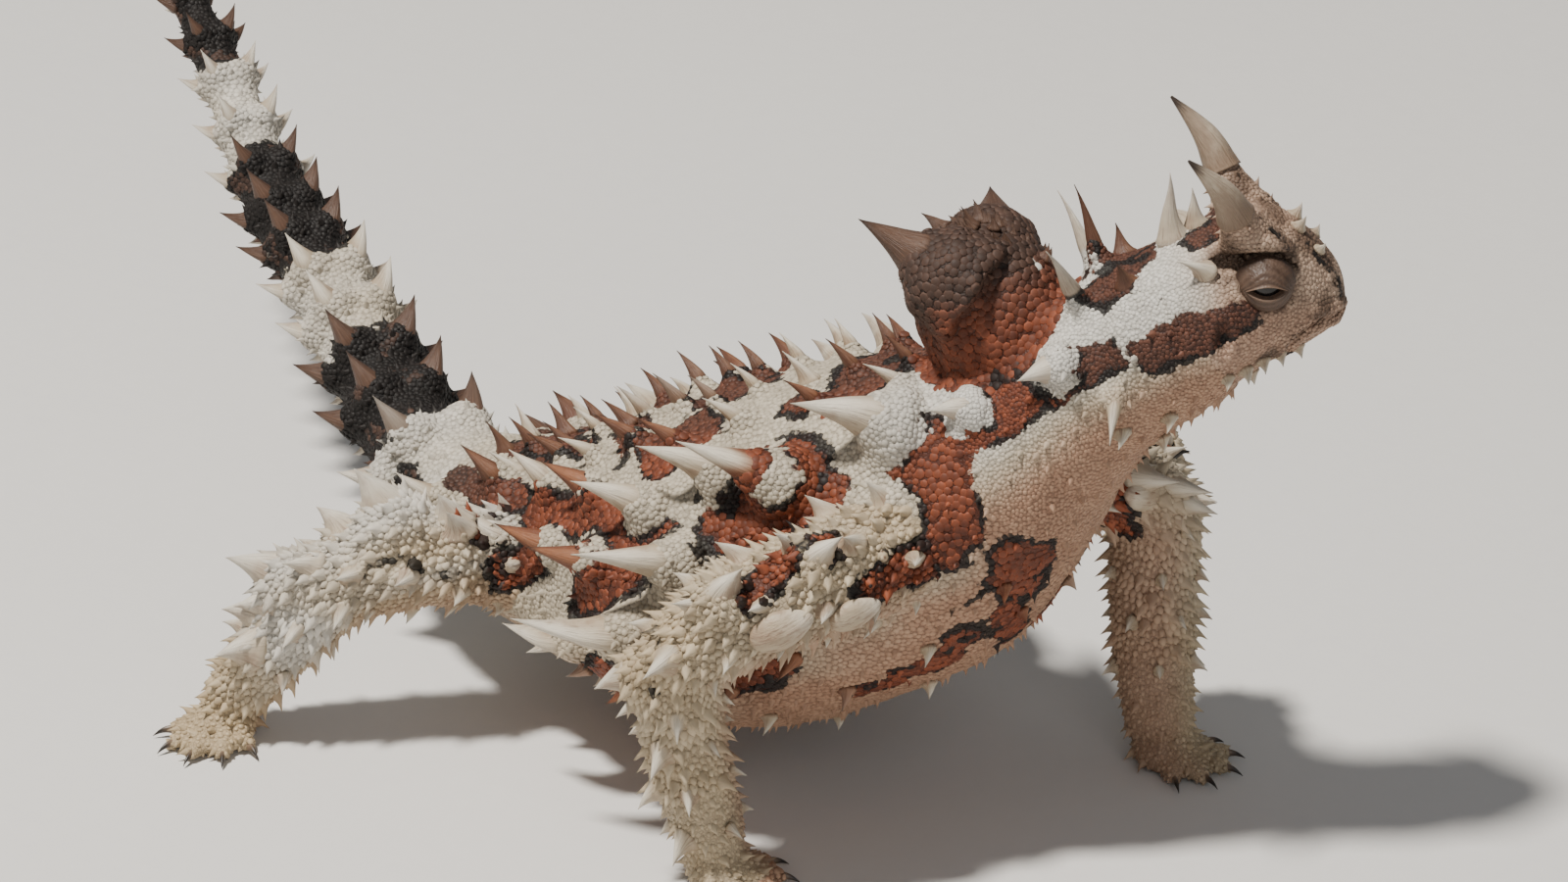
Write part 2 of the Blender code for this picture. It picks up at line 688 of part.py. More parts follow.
def make_head(head, body):
    base = loft("head", head, 0, len(HEAD_ROWS) - 1, TRUNK_SIDES, end_gap=0.0)
    pieces = []
    axes = (HEAD_AHEAD, HEAD_LEFT, HEAD_UP)
    for side in (-1, 1):
        ahead, left, up = EYE_PLACE
        place = head_point(ahead, side * left, up)
        pieces.append(ball("lids", place, (LID_RADIUS,) * 3, axes, 14, 10))
        horn = horn_line(side)
        pieces.append(loft("brow", horn, 0, HORN_CUT, 8, start_gap=0.0))
        for s, angle, height, radius, lean, turn in HEAD_THORNS:
            pieces.append(line_thorn(head, s, side * angle, height, radius, lean, turn))
    for s, angle, height, radius, lean, turn in SKULL_THORNS:
        pieces.append(line_thorn(head, s, angle, height, radius, lean, turn, 10, 6))
    pieces = Room(body, NECK_END, None).keep(pieces)
    pieces.append(mouth_tube(head, LIP_RADIUS, LIP_RADIUS, LIP_SINK, 6))
    combine(base, pieces, "UNION")
    cutters = [mouth_tube(head, *MOUTH_GROOVE, 0.0, 4)]
    for side in (-1, 1):
        s, angle, radius = NOSTRIL
        cutters.append(ball("nostril", head.point(s, side * angle), (radius,) * 3, axes, 8, 6))
        s, angle, half = EAR
        cutters.append(ball("ear", head.point(s, side * angle), half, axes, 10, 6))
        ahead, left, up = EYE_PLACE
        place = head_point(ahead, side * left, up)
        cutters.append(ball("socket", place, (EYE_RADIUS + GAP,) * 3, axes, 12, 8))
        slit = head_point(ahead, side * (left + LID_RADIUS), up)
        cutters.append(ball("slit", slit, (LID_SLIT[0], 1.8, LID_SLIT[1]), axes, 10, 6))
    combine(base, cutters, "DIFFERENCE")
    return finish_piece(base, "head", "pale skin")


def horn_line(side):
    rows = []
    for ahead, left, up, radius in HORN_ROWS:
        rows.append((*head_point(ahead, side * left, up), radius))
    return LimbLine(rows)


def make_horns_and_eyes():
    axes = (HEAD_AHEAD, HEAD_LEFT, HEAD_UP)
    for side, word in ((-1, "right"), (1, "left")):
        horn = loft("horn", horn_line(side), HORN_CUT, len(HORN_ROWS) - 1, 8, step=0.5, end_gap=0.0)
        finish_piece(horn, "horn_" + word, "horn", 0.4)
        ahead, left, up = EYE_PLACE
        eye = ball("eye", head_point(ahead, side * left, up), (EYE_RADIUS,) * 3, axes, 12, 8)
        finish_piece(eye, "eye_" + word, "eye", 0.1)


def toe(place, heading, length, radius):
    """One toe along the ground with its claw."""
    turn = math.radians(heading)
    out = Vector((math.cos(turn), math.sin(turn), 0.0))
    across = Vector((-out.y, out.x, 0.0))
    up = Vector((0, 0, 1))
    path = [(0.0, 1.5, 1.25), (0.45, 1.05, 1.05), (0.9, 0.7, 0.9), (1.0, 0.62, 0.55)]
    rings = []
    for share, height, size in path:
        centre = place + out * (share * length) + up * height
        r = radius * size
        rings.append([centre + across * (r * math.cos(a)) + up * (r * math.sin(a))
                      for a in [math.radians(60 * k + 30) for k in range(6)]])
    claw_root = place + out * (0.92 * length) + up * 0.62
    claw = []
    for k in range(4):
        a = math.radians(90 * k + 45)
        claw.append(claw_root + across * (0.42 * math.cos(a)) + up * (0.42 * math.sin(a)))
    claw.append(claw_root + out * CLAW_LENGTH - up * 0.45)
    faces = [(0, 1, 2, 3)] + [(k, (k + 1) % 4, 4) for k in range(4)]
    return [skin_rings("toe", rings), solid("claw", claw, faces)]


def limb_thorns(line, start, end, side, word):
    """Small thorns round a limb, taller where they face out and up, with its tall ones."""
    draw = random.Random(SEED + len(word) + (side > 0))
    pieces = []
    exposed = Vector((-0.2, side * 0.8, 0.55)).normalized()
    s = start + 0.12
    ring = 0
    tall, low = LIMB_THORN_HEIGHTS
    while s < end:
        for k in range(LIMB_THORNS_ROUND):
            angle = 360.0 * (k + 0.5 * (ring % 2)) / LIMB_THORNS_ROUND + draw.uniform(-9, 9)
            outward = line.outward(s, angle)
            facing = max(0.0, outward.dot(exposed))
            height = (low + (tall - low) * facing) * draw.uniform(0.8, 1.15)
            if outward.dot(exposed) > -0.75:
                radius = height * LIMB_THORN_WIDTH
                root = line.point(s, angle)
                away = line.frame(s)[1]
                pieces.append(thorn(root, outward, away, height, radius, 24, 12))
        stretch = (line.frame(min(s + 0.1, end))[0] - line.frame(s - 0.1)[0]).length / 0.2
        s += LIMB_THORN_STEP / max(stretch, 1.0)
        ring += 1
    own = TALL_LIMB_THORNS.get(word + "_left", []) if side > 0 else []
    for place, direction, height, radius, lean in TALL_LIMB_THORNS.get(word, []) + own:
        facing = Vector((direction[0], side * direction[1], direction[2]))
        centre, ahead = line.frame(place)[:2]
        facing = (facing - ahead * facing.dot(ahead)).normalized()
        root = centre + facing * line.radii(place)[0]
        pieces.append(thorn(root, facing, -ahead if lean > 40 else ahead, height, radius, lean, 12, 6))
    return pieces


def make_limb(key, body):
    limb = LIMBS[key]
    side = key.split("_")[1]
    line = LimbLine(limb["rows"])
    last = len(limb["rows"]) - 1
    upper, lower, foot = (word + "_" + side for word in limb["names"])
    sense = 1 if side == "left" else -1

    base = loft(upper, line, 0, LIMB_BEND, LIMB_SIDES, step=0.5, clear=0.8, start_gap=0.0)
    pieces = limb_thorns(line, 0.5, LIMB_BEND, sense, limb["names"][0])
    combine(base, Room(line, None, LIMB_BEND).keep(pieces), "UNION")
    combine(base, [trunk_cutter(body)], "DIFFERENCE")
    finish_piece(base, upper, "pale skin")

    base = loft(lower, line, LIMB_BEND, limb["wrist"], LIMB_SIDES, step=0.5, clear=0.55)
    pieces = limb_thorns(line, LIMB_BEND, limb["wrist"], sense, limb["names"][1])
    combine(base, Room(line, LIMB_BEND, limb["wrist"]).keep(pieces), "UNION")
    combine(base, [trunk_cutter(body)], "DIFFERENCE")
    finish_piece(base, lower, "pale skin")

    base = loft(foot, line, limb["wrist"], last, LIMB_SIDES, step=0.5, end_gap=0.0)
    ground = Vector(limb["rows"][-1][:3])
    ground.z = 0.0
    turn = math.radians(limb["heading"])
    out = Vector((math.cos(turn), math.sin(turn), 0.0))
    axes = (out, Vector((-out.y, out.x, 0.0)), Vector((0, 0, 1)))
    pieces = [ball("pad", ground + out * 0.8 + Vector((0, 0, 1.2)), PAD, axes, 10, 6)]
    for spread, length in zip(TOE_SPREAD, TOE_LENGTH):
        heading = limb["heading"] + (spread if side == "left" else -spread)
        turn = math.radians(heading)
        start = ground + Vector((math.cos(turn), math.sin(turn), 0.0)) * 1.6
        pieces += toe(start, heading, length, TOE_RADIUS)
    combine(base, pieces, "UNION")
    bpy.ops.mesh.primitive_cube_add(size=40 * MM, location=(ground.x * MM, ground.y * MM, -20 * MM))
    combine(base, [bpy.context.object], "DIFFERENCE")
    finish_piece(base, foot, "pale skin")


def finish_model():
    """Moves the model's middle, at ground level, to the origin and names its collection."""
    pieces = [thing for thing in bpy.context.scene.objects if thing.type == "MESH"]
    corners = [v.co for thing in pieces for v in thing.data.vertices]
    middle = Vector((0.0, 0.0, 0.0))
    for k in range(2):
        middle[k] = 0.5 * (min(c[k] for c in corners) + max(c[k] for c in corners))
    group = bpy.data.collections.new("thorny_devil")
    bpy.context.scene.collection.children.link(group)
    for thing in pieces:
        for vertex in thing.data.vertices:
            vertex.co = vertex.co - middle
        for holder in list(thing.users_collection):
            holder.objects.unlink(thing)
        group.objects.link(thing)


def main():
    clear_scene()
    body = BodyLine()
    head = HeadLine()
    make_torso(body)
    make_neck(body)
    make_tail(body)
    make_knob(body)
    make_head(head, body)
    make_horns_and_eyes()
    for key in LIMBS:
        make_limb(key, body)
    finish_model()


main()
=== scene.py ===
import math
import random

import bpy
import numpy as np
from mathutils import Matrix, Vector


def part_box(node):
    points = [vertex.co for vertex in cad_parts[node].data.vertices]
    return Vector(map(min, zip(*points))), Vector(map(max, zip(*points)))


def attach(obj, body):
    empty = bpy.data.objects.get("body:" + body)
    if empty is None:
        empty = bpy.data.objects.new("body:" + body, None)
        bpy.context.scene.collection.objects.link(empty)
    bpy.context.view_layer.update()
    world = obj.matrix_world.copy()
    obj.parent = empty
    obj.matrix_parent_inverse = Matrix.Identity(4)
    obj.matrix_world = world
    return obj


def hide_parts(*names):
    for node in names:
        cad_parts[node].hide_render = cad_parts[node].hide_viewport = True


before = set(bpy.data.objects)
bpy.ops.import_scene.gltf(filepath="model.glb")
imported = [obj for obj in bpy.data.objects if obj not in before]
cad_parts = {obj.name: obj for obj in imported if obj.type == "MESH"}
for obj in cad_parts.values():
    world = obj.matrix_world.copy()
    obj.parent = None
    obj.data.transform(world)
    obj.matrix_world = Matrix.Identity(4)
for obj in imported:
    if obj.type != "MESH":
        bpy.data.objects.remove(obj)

# Looks of the thorny devil. Lengths in the tables are millimetres in the animal's own frame,
# +X ahead, +Y its left and +Z up; placed() moves points into the row frame, in metres.
MM = 0.001
SEED = 23
FLOOR_GAP = 0.00001
SIDES = ((-1, "right"), (1, "left"))
# The size on the bake map of one scale or thorn, and more than any distance that is looked for.
MAP_SPOT = 0.0015
FAR = 9.0

# Sections of the body from the tail tip to the neck: place x y z, half width, height of the
# back and depth of the belly from that place, then pitch and yaw of the section's axis.
BODY_ROWS = [
    (-96.0, 39.2, 47.0, 1.0, 1.0, 1.0, -37, -26),
    (-89.6, 36.1, 41.8, 1.8, 1.8, 1.8, -35, -26),
    (-83.8, 33.2, 37.6, 2.3, 2.3, 2.3, -32, -29),
    (-77.0, 29.2, 33.0, 2.7, 2.7, 2.7, -29, -32),
    (-71.0, 25.3, 29.3, 3.1, 3.0, 3.0, -23, -32),
    (-64.6, 21.5, 26.9, 3.4, 3.3, 3.3, -16, -31),
    (-53.1, 14.8, 23.5, 3.9, 3.8, 3.8, -14, -32),
    (-41.2, 6.9, 20.0, 4.4, 4.2, 4.2, -11, -33),
    (-33.0, 1.6, 18.4, 5.2, 4.8, 4.8, -4, -29),
    (-27.0, 0.0, 17.0, 7.2, 6.0, 6.0, 2, -12),
    (-20.0, 0.0, 15.2, 10.5, 8.6, 7.0, 5, 0),
    (-12.0, 0.0, 15.0, 12.8, 11.4, 8.0, 8, 0),
    (-4.0, 0.0, 15.5, 16.0, 14.6, 9.4, 14, 0),
    (4.0, 0.0, 17.0, 20.3, 17.0, 11.8, 20, 0),
    (12.0, 0.0, 19.5, 21.8, 18.0, 13.2, 24, 0),
    (20.0, 0.0, 24.0, 19.8, 17.6, 13.6, 27, 0),
    (28.0, 0.0, 30.0, 15.8, 15.2, 13.8, 31, 0),
    (36.0, 0.3, 37.0, 11.8, 11.7, 10.4, 36, 8),
    (41.0, 2.2, 43.5, 9.3, 9.4, 7.8, 42, 20),
    (45.5, 4.0, 48.0, 8.2, 9.0, 7.2, 36, 30),
    (49.8, 6.0, 51.5, 8.0, 8.5, 7.2, 22, 38),
]
# The head's place and heading, and its sections from neck to snout: ahead and up from that place,
# half width, height, depth and pitch.
HEAD_PLACE = (54.9, 10.0, 56.5)
HEAD_YAW = 38.0
HEAD_ROWS = [
    (-6.5, -5.0, 8.0, 8.5, 7.2, 22),
    (-4.0, -3.2, 8.0, 8.2, 6.8, 14),
    (-1.5, -2.0, 7.4, 8.3, 6.6, 7),
    (1.0, -1.6, 6.6, 8.1, 5.8, 2),
    (3.2, -1.6, 5.4, 6.6, 5.0, 0),
    (5.0, -1.8, 4.2, 4.9, 3.9, -2),
    (6.3, -2.0, 3.1, 3.3, 2.9, -4),
    (7.1, -2.2, 1.7, 1.6, 1.6, -5),
]
# Sections of each limb from its root to the wrist or ankle: place x y z and radius.
LIMB_ROWS = {
    "arm_right": [(36.0, -2.5, 34.0, 4.8), (27, -18.5, 30, 5.0), (19.2, -26.3, 24.6, 4.2),
                  (17.4, -26.0, 16.5, 3.8), (18.2, -24.8, 9.5, 3.6), (19.3, -23.7, 3.2, 3.1)],
    "arm_left": [(34.8, 2.5, 33.0, 4.8), (35.8, 14.5, 30, 5.0), (37.0, 21.2, 24, 4.5),
                 (37.8, 20.6, 16, 4.1), (38.9, 19.4, 9.5, 3.8), (40.3, 18.7, 3.2, 3.3)],
    "leg_right": [(-11, -5, 16, 4.6), (-18, -14.2, 18, 4.5), (-25.6, -20.4, 16.2, 4.2),
                  (-30.4, -23.8, 9.6, 3.5), (-35.1, -26.8, 3.0, 2.8)],
    "leg_left": [(-11, 5, 16, 4.6), (-7, 15.0, 18.2, 4.5), (-3.4, 23.8, 16.0, 4.2),
                 (-6.6, 27.2, 9.6, 3.5), (-11.2, 30.2, 3.0, 2.8)],
}
# The eye's place ahead, left and up from the head's, half the width and height of its slit, the
# angle at which the lids end, and the folds of the upper and the lower lid.
EYE_PLACE = (-0.5, 5.2, 1.5)
LID_RADIUS = 2.62
EYE_RADIUS = 1.95
LID_SLIT = (1.80, 0.62)
LID_EDGE = 84
LID_WAVES = (24.0, 19.0)
# Sections of a brow horn: ahead, left and up from the head's place, radius. The line of the mouth:
# place along the head and height.
HORN_ROWS = [
    (-0.6, 2.4, 1.6, 2.6),
    (-1.6, 3.4, 4.5, 2.9),
    (-2.9, 4.9, 7.2, 1.85),
    (-4.7, 6.3, 10.8, 1.15),
    (-7.7, 7.4, 14.1, 0.12),
]
MOUTH = [(3.3, -5.4), (3.65, -3.9), (4.3, -3.0), (5.0, -2.65), (6.0, -2.75), (6.9, -3.0)]
# Places of nostril and ear on the head: along it and the angle from its top.
NOSTRIL = (5.75, 52)
EAR = (0.95, 86)
# Places along the body where the trunk and the neck begin, along a limb where its hand or foot
# begins, and where the tail's rings of thorns start.
TRUNK_START = 9.0
NECK_START = 17.0
FOOT_START = 3.9
TAIL_THORNS_START = 8.6
# The middle of the nape knob, its half sizes ahead, left and up, and its pitch.
KNOB_PLACE = np.array((33.0, 0.3, 50.6))
KNOB_HALF = (7.4, 6.4, 9.0)
KNOB_PITCH = 34.0

# Where each limb's thorns end and the heading of its hand or foot, in degrees.
LIMB_ENDS = {"arm_right": (4.6, -6), "arm_left": (4.6, 14), "leg_right": (3.55, -84), "leg_left": (3.55, 62)}
LIMB_WORDS = {"arm": ("upper_arm", "forearm", "hand"), "leg": ("thigh", "shin", "foot")}
LIMB_BEND = 2.0
# Toes from one side of a foot to the other, their claws, and the half sizes of the foot's pad.
TOE_SPREAD = (-58, -30, -4, 22, 50)
TOE_LENGTH = (4.0, 5.0, 5.4, 5.0, 3.9)
TOE_RADIUS = 0.95
CLAW_LENGTH = 1.7
CLAW_LIFT = 0.03
PAD = (3.6, 3.2, 2.3)

# Big thorns of the trunk on either side: place along the body, angle from the back, height,
# radius of the base, lean towards the tail and turn of that lean towards the back.
TRUNK_THORNS = [
    (16.62, 44, 9.6, 3.5, 50, 8),
    (15.62, 54, 10.8, 3.4, 52, 20),
    (14.90, 44, 8.6, 2.7, 46, 5),
    (14.45, 66, 10.2, 2.8, 50, 8),
    (13.95, 47, 7.8, 2.5, 44, 8),
    (13.72, 82, 11.6, 2.9, 52, 26),
    (13.10, 62, 6.6, 2.2, 44, 15),
    (12.80, 40, 6.2, 2.1, 38, 20),
    (12.50, 88, 7.6, 2.4, 50, 22),
    (12.00, 60, 6.2, 2.1, 42, 20),
    (11.55, 36, 5.6, 2.0, 36, 25),
    (10.95, 62, 5.4, 1.9, 42, 25),
    (10.40, 34, 5.2, 1.9, 34, 20),
    (9.55, 58, 5.0, 1.9, 36, 20),
    (15.05, 98, 3.6, 1.3, 36, -40),
    (17.40, 50, 3.8, 2.2, 60, 10),
]
# Rows of small thorns of the trunk: angle, first place, last place, step, height, radius, lean.
TRUNK_ROWS = [
    (11, 10.0, 17.0, 0.60, 4.3, 1.35, 22),
    (25, 10.6, 16.9, 0.86, 4.6, 1.55, 32),
    (112, 11.5, 16.4, 0.74, 2.4, 1.1, 34),
    (136, 12.0, 16.8, 0.80, 1.9, 0.95, 30),
    (162, 12.2, 17.0, 1.10, 1.3, 0.85, 20),
]
# Thorns of the neck, the nape, the head and the top of the skull, in the form of the trunk's.
NECK_THORNS = [
    (18.45, 54, 3.8, 2.3, 60, 5),
    (18.85, 86, 4.8, 1.5, 42, -50),
    (19.52, 24, 2.8, 1.1, -18, 0),
    (18.60, 112, 1.6, 0.9, 30, 0),
    (19.20, 124, 1.4, 0.8, 30, 0),
    (18.80, 150, 1.2, 0.8, 25, 0),
]
NAPE_THORNS = [(19.02, 22, 7.3, 1.45, -18, 0), (19.15, -26, 7.8, 1.2, -6, 0), (19.30, -12, 7.6, 1.2, -18, 0)]
HEAD_THORNS = [
    (0.90, 40, 3.0, 1.2, 40, 20),
    (3.85, 13, 1.3, 0.75, 5, 0),
    (4.75, 24, 0.9, 0.6, 10, 0),
    (0.75, 120, 1.2, 0.7, 30, 0),
    (1.50, 128, 1.3, 0.75, 20, 0),
    (2.25, 130, 1.2, 0.7, 15, 0),
    (3.00, 136, 1.1, 0.65, 10, 0),
    (3.85, 142, 1.0, 0.6, 5, 0),
    (1.80, 156, 1.0, 0.7, 15, 0),
]
SKULL_THORNS = [(0.50, 0, 6.2, 1.45, -32, 0), (1.00, -4, 3.4, 1.1, -26, 0)]
# Rings of tail thorns: angle, height at the root of the tail, height at its tip.
TAIL_THORNS = [(34, 5.4, 2.5), (84, 4.7, 2.2), (134, 2.0, 1.0)]
TAIL_RING_STEPS = (7.4, 5.2)
THORN_GIRTH = 0.46
THORN_SEED = 11
# The knob's two big thorns: place on it (ahead, left, up), direction, height and radius.
KNOB_THORNS = [((0.0, -0.68, 0.73), (-0.82, -0.29, 0.49), 7.8, 3.9),
               ((0.05, 0.70, 0.71), (-0.48, 0.76, 0.30), 6.4, 3.4)]
# The knob's smaller thorns: ahead, left and height.
KNOB_CREST = [(-0.45, 0.0, 2.0), (-0.1, 0.0, 2.4), (0.35, 0.1, 1.9), (-0.30, 0.45, 1.7), (0.12, 0.42, 1.9),
              (0.55, 0.38, 1.5), (0.45, 0.80, 1.5)]
# Thorns of the limbs, and the tall thorns and shields of one limb: place along it, direction
# they face, height, radius, lean.
LIMB_THORN_STEP = 4.7
LIMB_THORNS_ROUND = 5
LIMB_THORN_HEIGHTS = (2.9, 1.2)
TALL_LIMB_THORNS = {
    "upper_arm": [(1.55, (0.0, 0.75, 0.65), 3.8, 1.7, 45), (1.0, (0.1, 0.8, 0.55), 3.2, 1.7, 50),
                  (1.35, (0.2, 0.95, -0.25), 3.2, 2.3, 60), (0.95, (0.3, 0.9, -0.4), 2.6, 1.9, 60)],
    "upper_arm_left": [(1.25, (0.97, 0.0, 0.15), 4.6, 1.5, 10), (1.55, (0.97, 0.1, -0.1), 4.0, 1.4, 14),
                       (0.92, (0.95, -0.05, 0.2), 3.4, 1.3, 10), (1.85, (0.9, 0.35, 0.0), 2.2, 1.0, 20)],
    "forearm": [(2.45, (-0.7, 0.6, 0.3), 3.6, 1.7, 25)],
    "thigh": [(1.45, (-0.2, 0.1, 1.0), 4.8, 2.1, 22), (1.0, (0.0, 0.25, 1.0), 2.4, 1.2, 20)],
    "shin": [(2.4, (-0.5, 0.4, 0.9), 4.4, 1.7, 15), (2.85, (-0.4, 0.5, 0.75), 2.8, 1.3, 20)],
}

# Rufous patches with dark edges on each line, every one a chain of (place along it, angle, radius).
RUFOUS = {
    "head": [
        [(1.72, 80, 0.45), (1.1, 78, 0.85), (0.66, 76, 1.05), (0.14, 74, 1.2)],
        [(0.98, 8, 1.0), (1.2, -8, 0.9)],
    ],
    "body": [
        [(19.82, 72, 1.25), (19.62, 72, 1.25), (19.48, 72, 0.9)],
        [(19.06, 66, 0.5), (18.9, 62, 0.9), (18.64, 60, 1.2), (18.3, 59, 1.4), (18.0, 58, 1.5),
         (17.72, 58, 1.6), (17.5, 59, 1.3)],
        [(17.3, 60, 0.8), (16.96, 56, 1.5), (16.74, 58, 1.2), (16.96, 66, 2.2), (16.96, 80, 1.8),
         (16.88, 92, 1.8), (16.74, 100, 1.3)],
        [(17.02, 128, 1.5), (17.04, 142, 1.4), (16.84, 132, 1.0), (16.82, 150, 1.2)],
        [(16.28, 144, 0.8), (15.94, 148, 0.8), (15.72, 142, 0.8), (15.32, 142, 0.6)],
        [(16.58, 152, 0.9), (16.28, 170, 1.0)],
        [(15.72, 44, 1.2), (15.84, 52, 1.6), (15.64, 54, 2.0), (15.38, 54, 2.0), (15.26, 46, 1.4)],
        [(15.48, 22, 0.8), (15.8, 24, 0.9), (16.08, 22, 0.9), (16.3, 18, 0.7)],
        [(15.92, 2, 1.9), (15.98, 8, 1.9), (16.06, 12, 1.4), (16.3, 12, 1.4), (16.7, 4, 1.2)],
        [(14.5, 0, 1.0), (14.2, 4, 1.4), (13.98, 5, 1.3), (13.6, 4, 1.0)],
        [(13.96, 18, 1.5), (14.32, 24, 1.2), (13.94, 26, 1.3), (13.86, 32, 1.1), (13.46, 24, 0.9)],
        [(12.36, 8, 1.0), (13.06, 22, 0.9)],
        [(12.52, 48, 1.2), (12.98, 44, 1.1), (13.42, 48, 1.3), (13.7, 54, 1.1)],
        [(14.74, 62, 0.7), (15.04, 64, 1.0), (15.36, 66, 1.3), (15.6, 72, 1.1)],
        [(14.8, 110, 1.4), (14.98, 110, 1.2), (14.54, 110, 0.8)],
        [(11.86, 62, 1.0), (11.44, 68, 1.4), (11.02, 74, 1.2)],
        [(9.72, 38, 0.7), (10.24, 40, 0.9), (10.82, 42, 0.9)],
        [(12.92, 60, 0.9), (13.34, 64, 0.8)],
        [(19.24, -18, 0.9), (19.34, -20, 1.0), (19.5, -14, 0.9), (19.8, 4, 0.7)],
        [(1.2, 0, 2.3), (1.9, 0, 2.6), (1.6, 70, 2.0), (1.5, 140, 1.8)],
        [(4.0, 10, 2.2), (4.5, 0, 3.3), (5.06, 0, 3.6), (5.4, -8, 3.2)],
        [(4.3, 80, 1.5), (4.9, 76, 1.9), (5.3, 110, 1.5)],
        [(6.6, 30, 1.2), (6.95, 32, 2.0), (7.35, 34, 2.2), (7.8, 34, 1.7), (8.1, 40, 1.1)],
        [(6.7, 84, 1.2), (7.2, 92, 1.6), (7.7, 96, 1.3)],
        [(10.2, 0, 1.5), (10.6, 6, 1.7), (11.1, 14, 1.4), (11.6, 18, 0.9)],
        [(8.9, 70, 1.1), (9.3, 74, 1.3)],
        [(12.1, 100, 1.2), (12.8, 104, 1.5), (13.5, 106, 1.2)],
        [(16.05, 62, 1.5), (15.7, 70, 1.6), (15.2, 60, 1.7), (14.9, 58, 1.2)],
        [(14.2, 58, 1.4), (13.8, 62, 1.5), (13.3, 70, 1.6), (12.8, 72, 1.5)],
        [(12.3, 46, 1.0), (11.8, 48, 1.3), (11.3, 46, 1.1)],
        [(15.1, 82, 1.2), (15.6, 86, 1.3), (16.1, 92, 1.1)],
    ],
    "arm_right": [
        [(0.84, -88, 0.7), (0.72, -84, 1.1), (0.6, -80, 1.1)],
        [(1.4, -28, 0.5), (1.3, -16, 0.7), (1.16, -12, 0.6), (1.02, -16, 0.5), (0.9, -20, 0.4)],
    ],
    "arm_left": [
        [(0.38, -116, 1.4), (0.44, -90, 1.3), (0.74, -56, 0.9), (1.42, -20, 0.4)],
    ],
    "leg_right": [
        [(0.88, -26, 0.8), (0.76, -30, 0.7), (0.64, -44, 0.7)],
    ],
}
# How much wider than its row each patch is drawn, the trunk's and neck's thorns with a ring of pale
# skin round the foot, counted through both lists, and that ring's share of a thorn's radius.
PATCH_GROWTH = 1.0
PALE_THORNS = (0, 2, 3, 4, 5, 8, 11, 15, 16, 17)
PALE_RING = 1.15
# Near-black spots and lines in the same form.
INK = {
    "body": [
        [(17.58, 88, 0.43)],
        [(16.42, 128, 0.4), (16.58, 130, 0.55), (16.68, 132, 0.4)],
        [(16.4, 144, 0.7), (16.34, 156, 0.9)],
        [(16.02, 142, 0.4), (16.24, 146, 0.5)],
        [(15.58, 138, 0.4), (15.8, 138, 0.7)],
        [(15.2, 138, 0.35), (15.42, 140, 0.5)],
        [(19.26, 60, 0.34), (19.16, 58, 0.43), (19.08, 56, 0.34)],
        [(15.42, 36, 0.3), (15.74, 38, 0.5), (16.0, 42, 0.65), (16.1, 50, 0.6), (16.04, 56, 0.6),
         (15.88, 60, 0.5)],
        [(14.66, 48, 0.8), (14.92, 48, 0.9), (15.04, 56, 0.7)],
        [(16.5, 10, 1.1), (17.1, 6, 1.2), (17.46, 8, 1.0), (17.98, 8, 0.9), (18.52, 6, 0.9)],
        [(14.38, 6, 0.54), (14.66, 2, 0.4)],
        [(13.72, 8, 0.45)],
        [(13.06, 28, 0.75), (13.02, 32, 0.5)],
        [(11.54, 2, 0.5), (11.02, 6, 0.45)],
        [(13.9, 78, 0.65), (13.76, 76, 0.5)],
        [(14.96, 114, 0.6), (14.72, 116, 0.5)],
        [(11.82, 52, 0.3), (12.52, 56, 0.3)],
        [(10.4, 12, 0.6), (11.06, 20, 0.6), (11.64, 24, 0.6)],
        [(19.06, -12, 0.4), (19.36, -6, 0.5), (19.62, 4, 0.5), (19.9, 8, 0.4)],
        [(8.0, 30, 0.7), (8.3, 26, 0.7)],
    ],
    "arm_right": [
        [(0.96, -88, 0.4), (0.88, -86, 0.5), (0.78, -78, 0.5), (0.7, -66, 0.5), (0.62, -54, 0.45)],
        [(1.42, -8, 0.55), (1.34, 0, 0.4), (1.24, 6, 0.4)],
        [(1.5, -36, 0.6), (1.44, -40, 0.4)],
        [(2.06, 36, 0.35), (2.1, 12, 0.3)],
        [(2.32, -4, 0.25), (2.54, 2, 0.3)],
    ],
    "leg_right": [
        [(1.74, -38, 0.25), (1.5, -46, 0.35), (1.28, -68, 0.35), (1.1, -86, 0.6), (0.96, -94, 0.4)],
        [(0.66, -54, 0.4), (0.66, -86, 0.7)],
        [(1.12, -32, 0.3), (0.98, -32, 0.3), (0.74, -28, 0.4)],
    ],
    "head": [
        [(4.3, 30, 0.43), (4.88, 34, 0.52), (5.64, 40, 0.43), (6.2, 60, 0.34)],
        [(2.8, 20, 0.26), (2.54, 24, 0.34), (2.6, 32, 0.43), (2.78, 42, 0.26)],
        [(2.38, 150, 0.35), (2.74, 150, 0.26)],
        [(3.28, 144, 0.3), (3.72, 140, 0.26)],
    ],
}
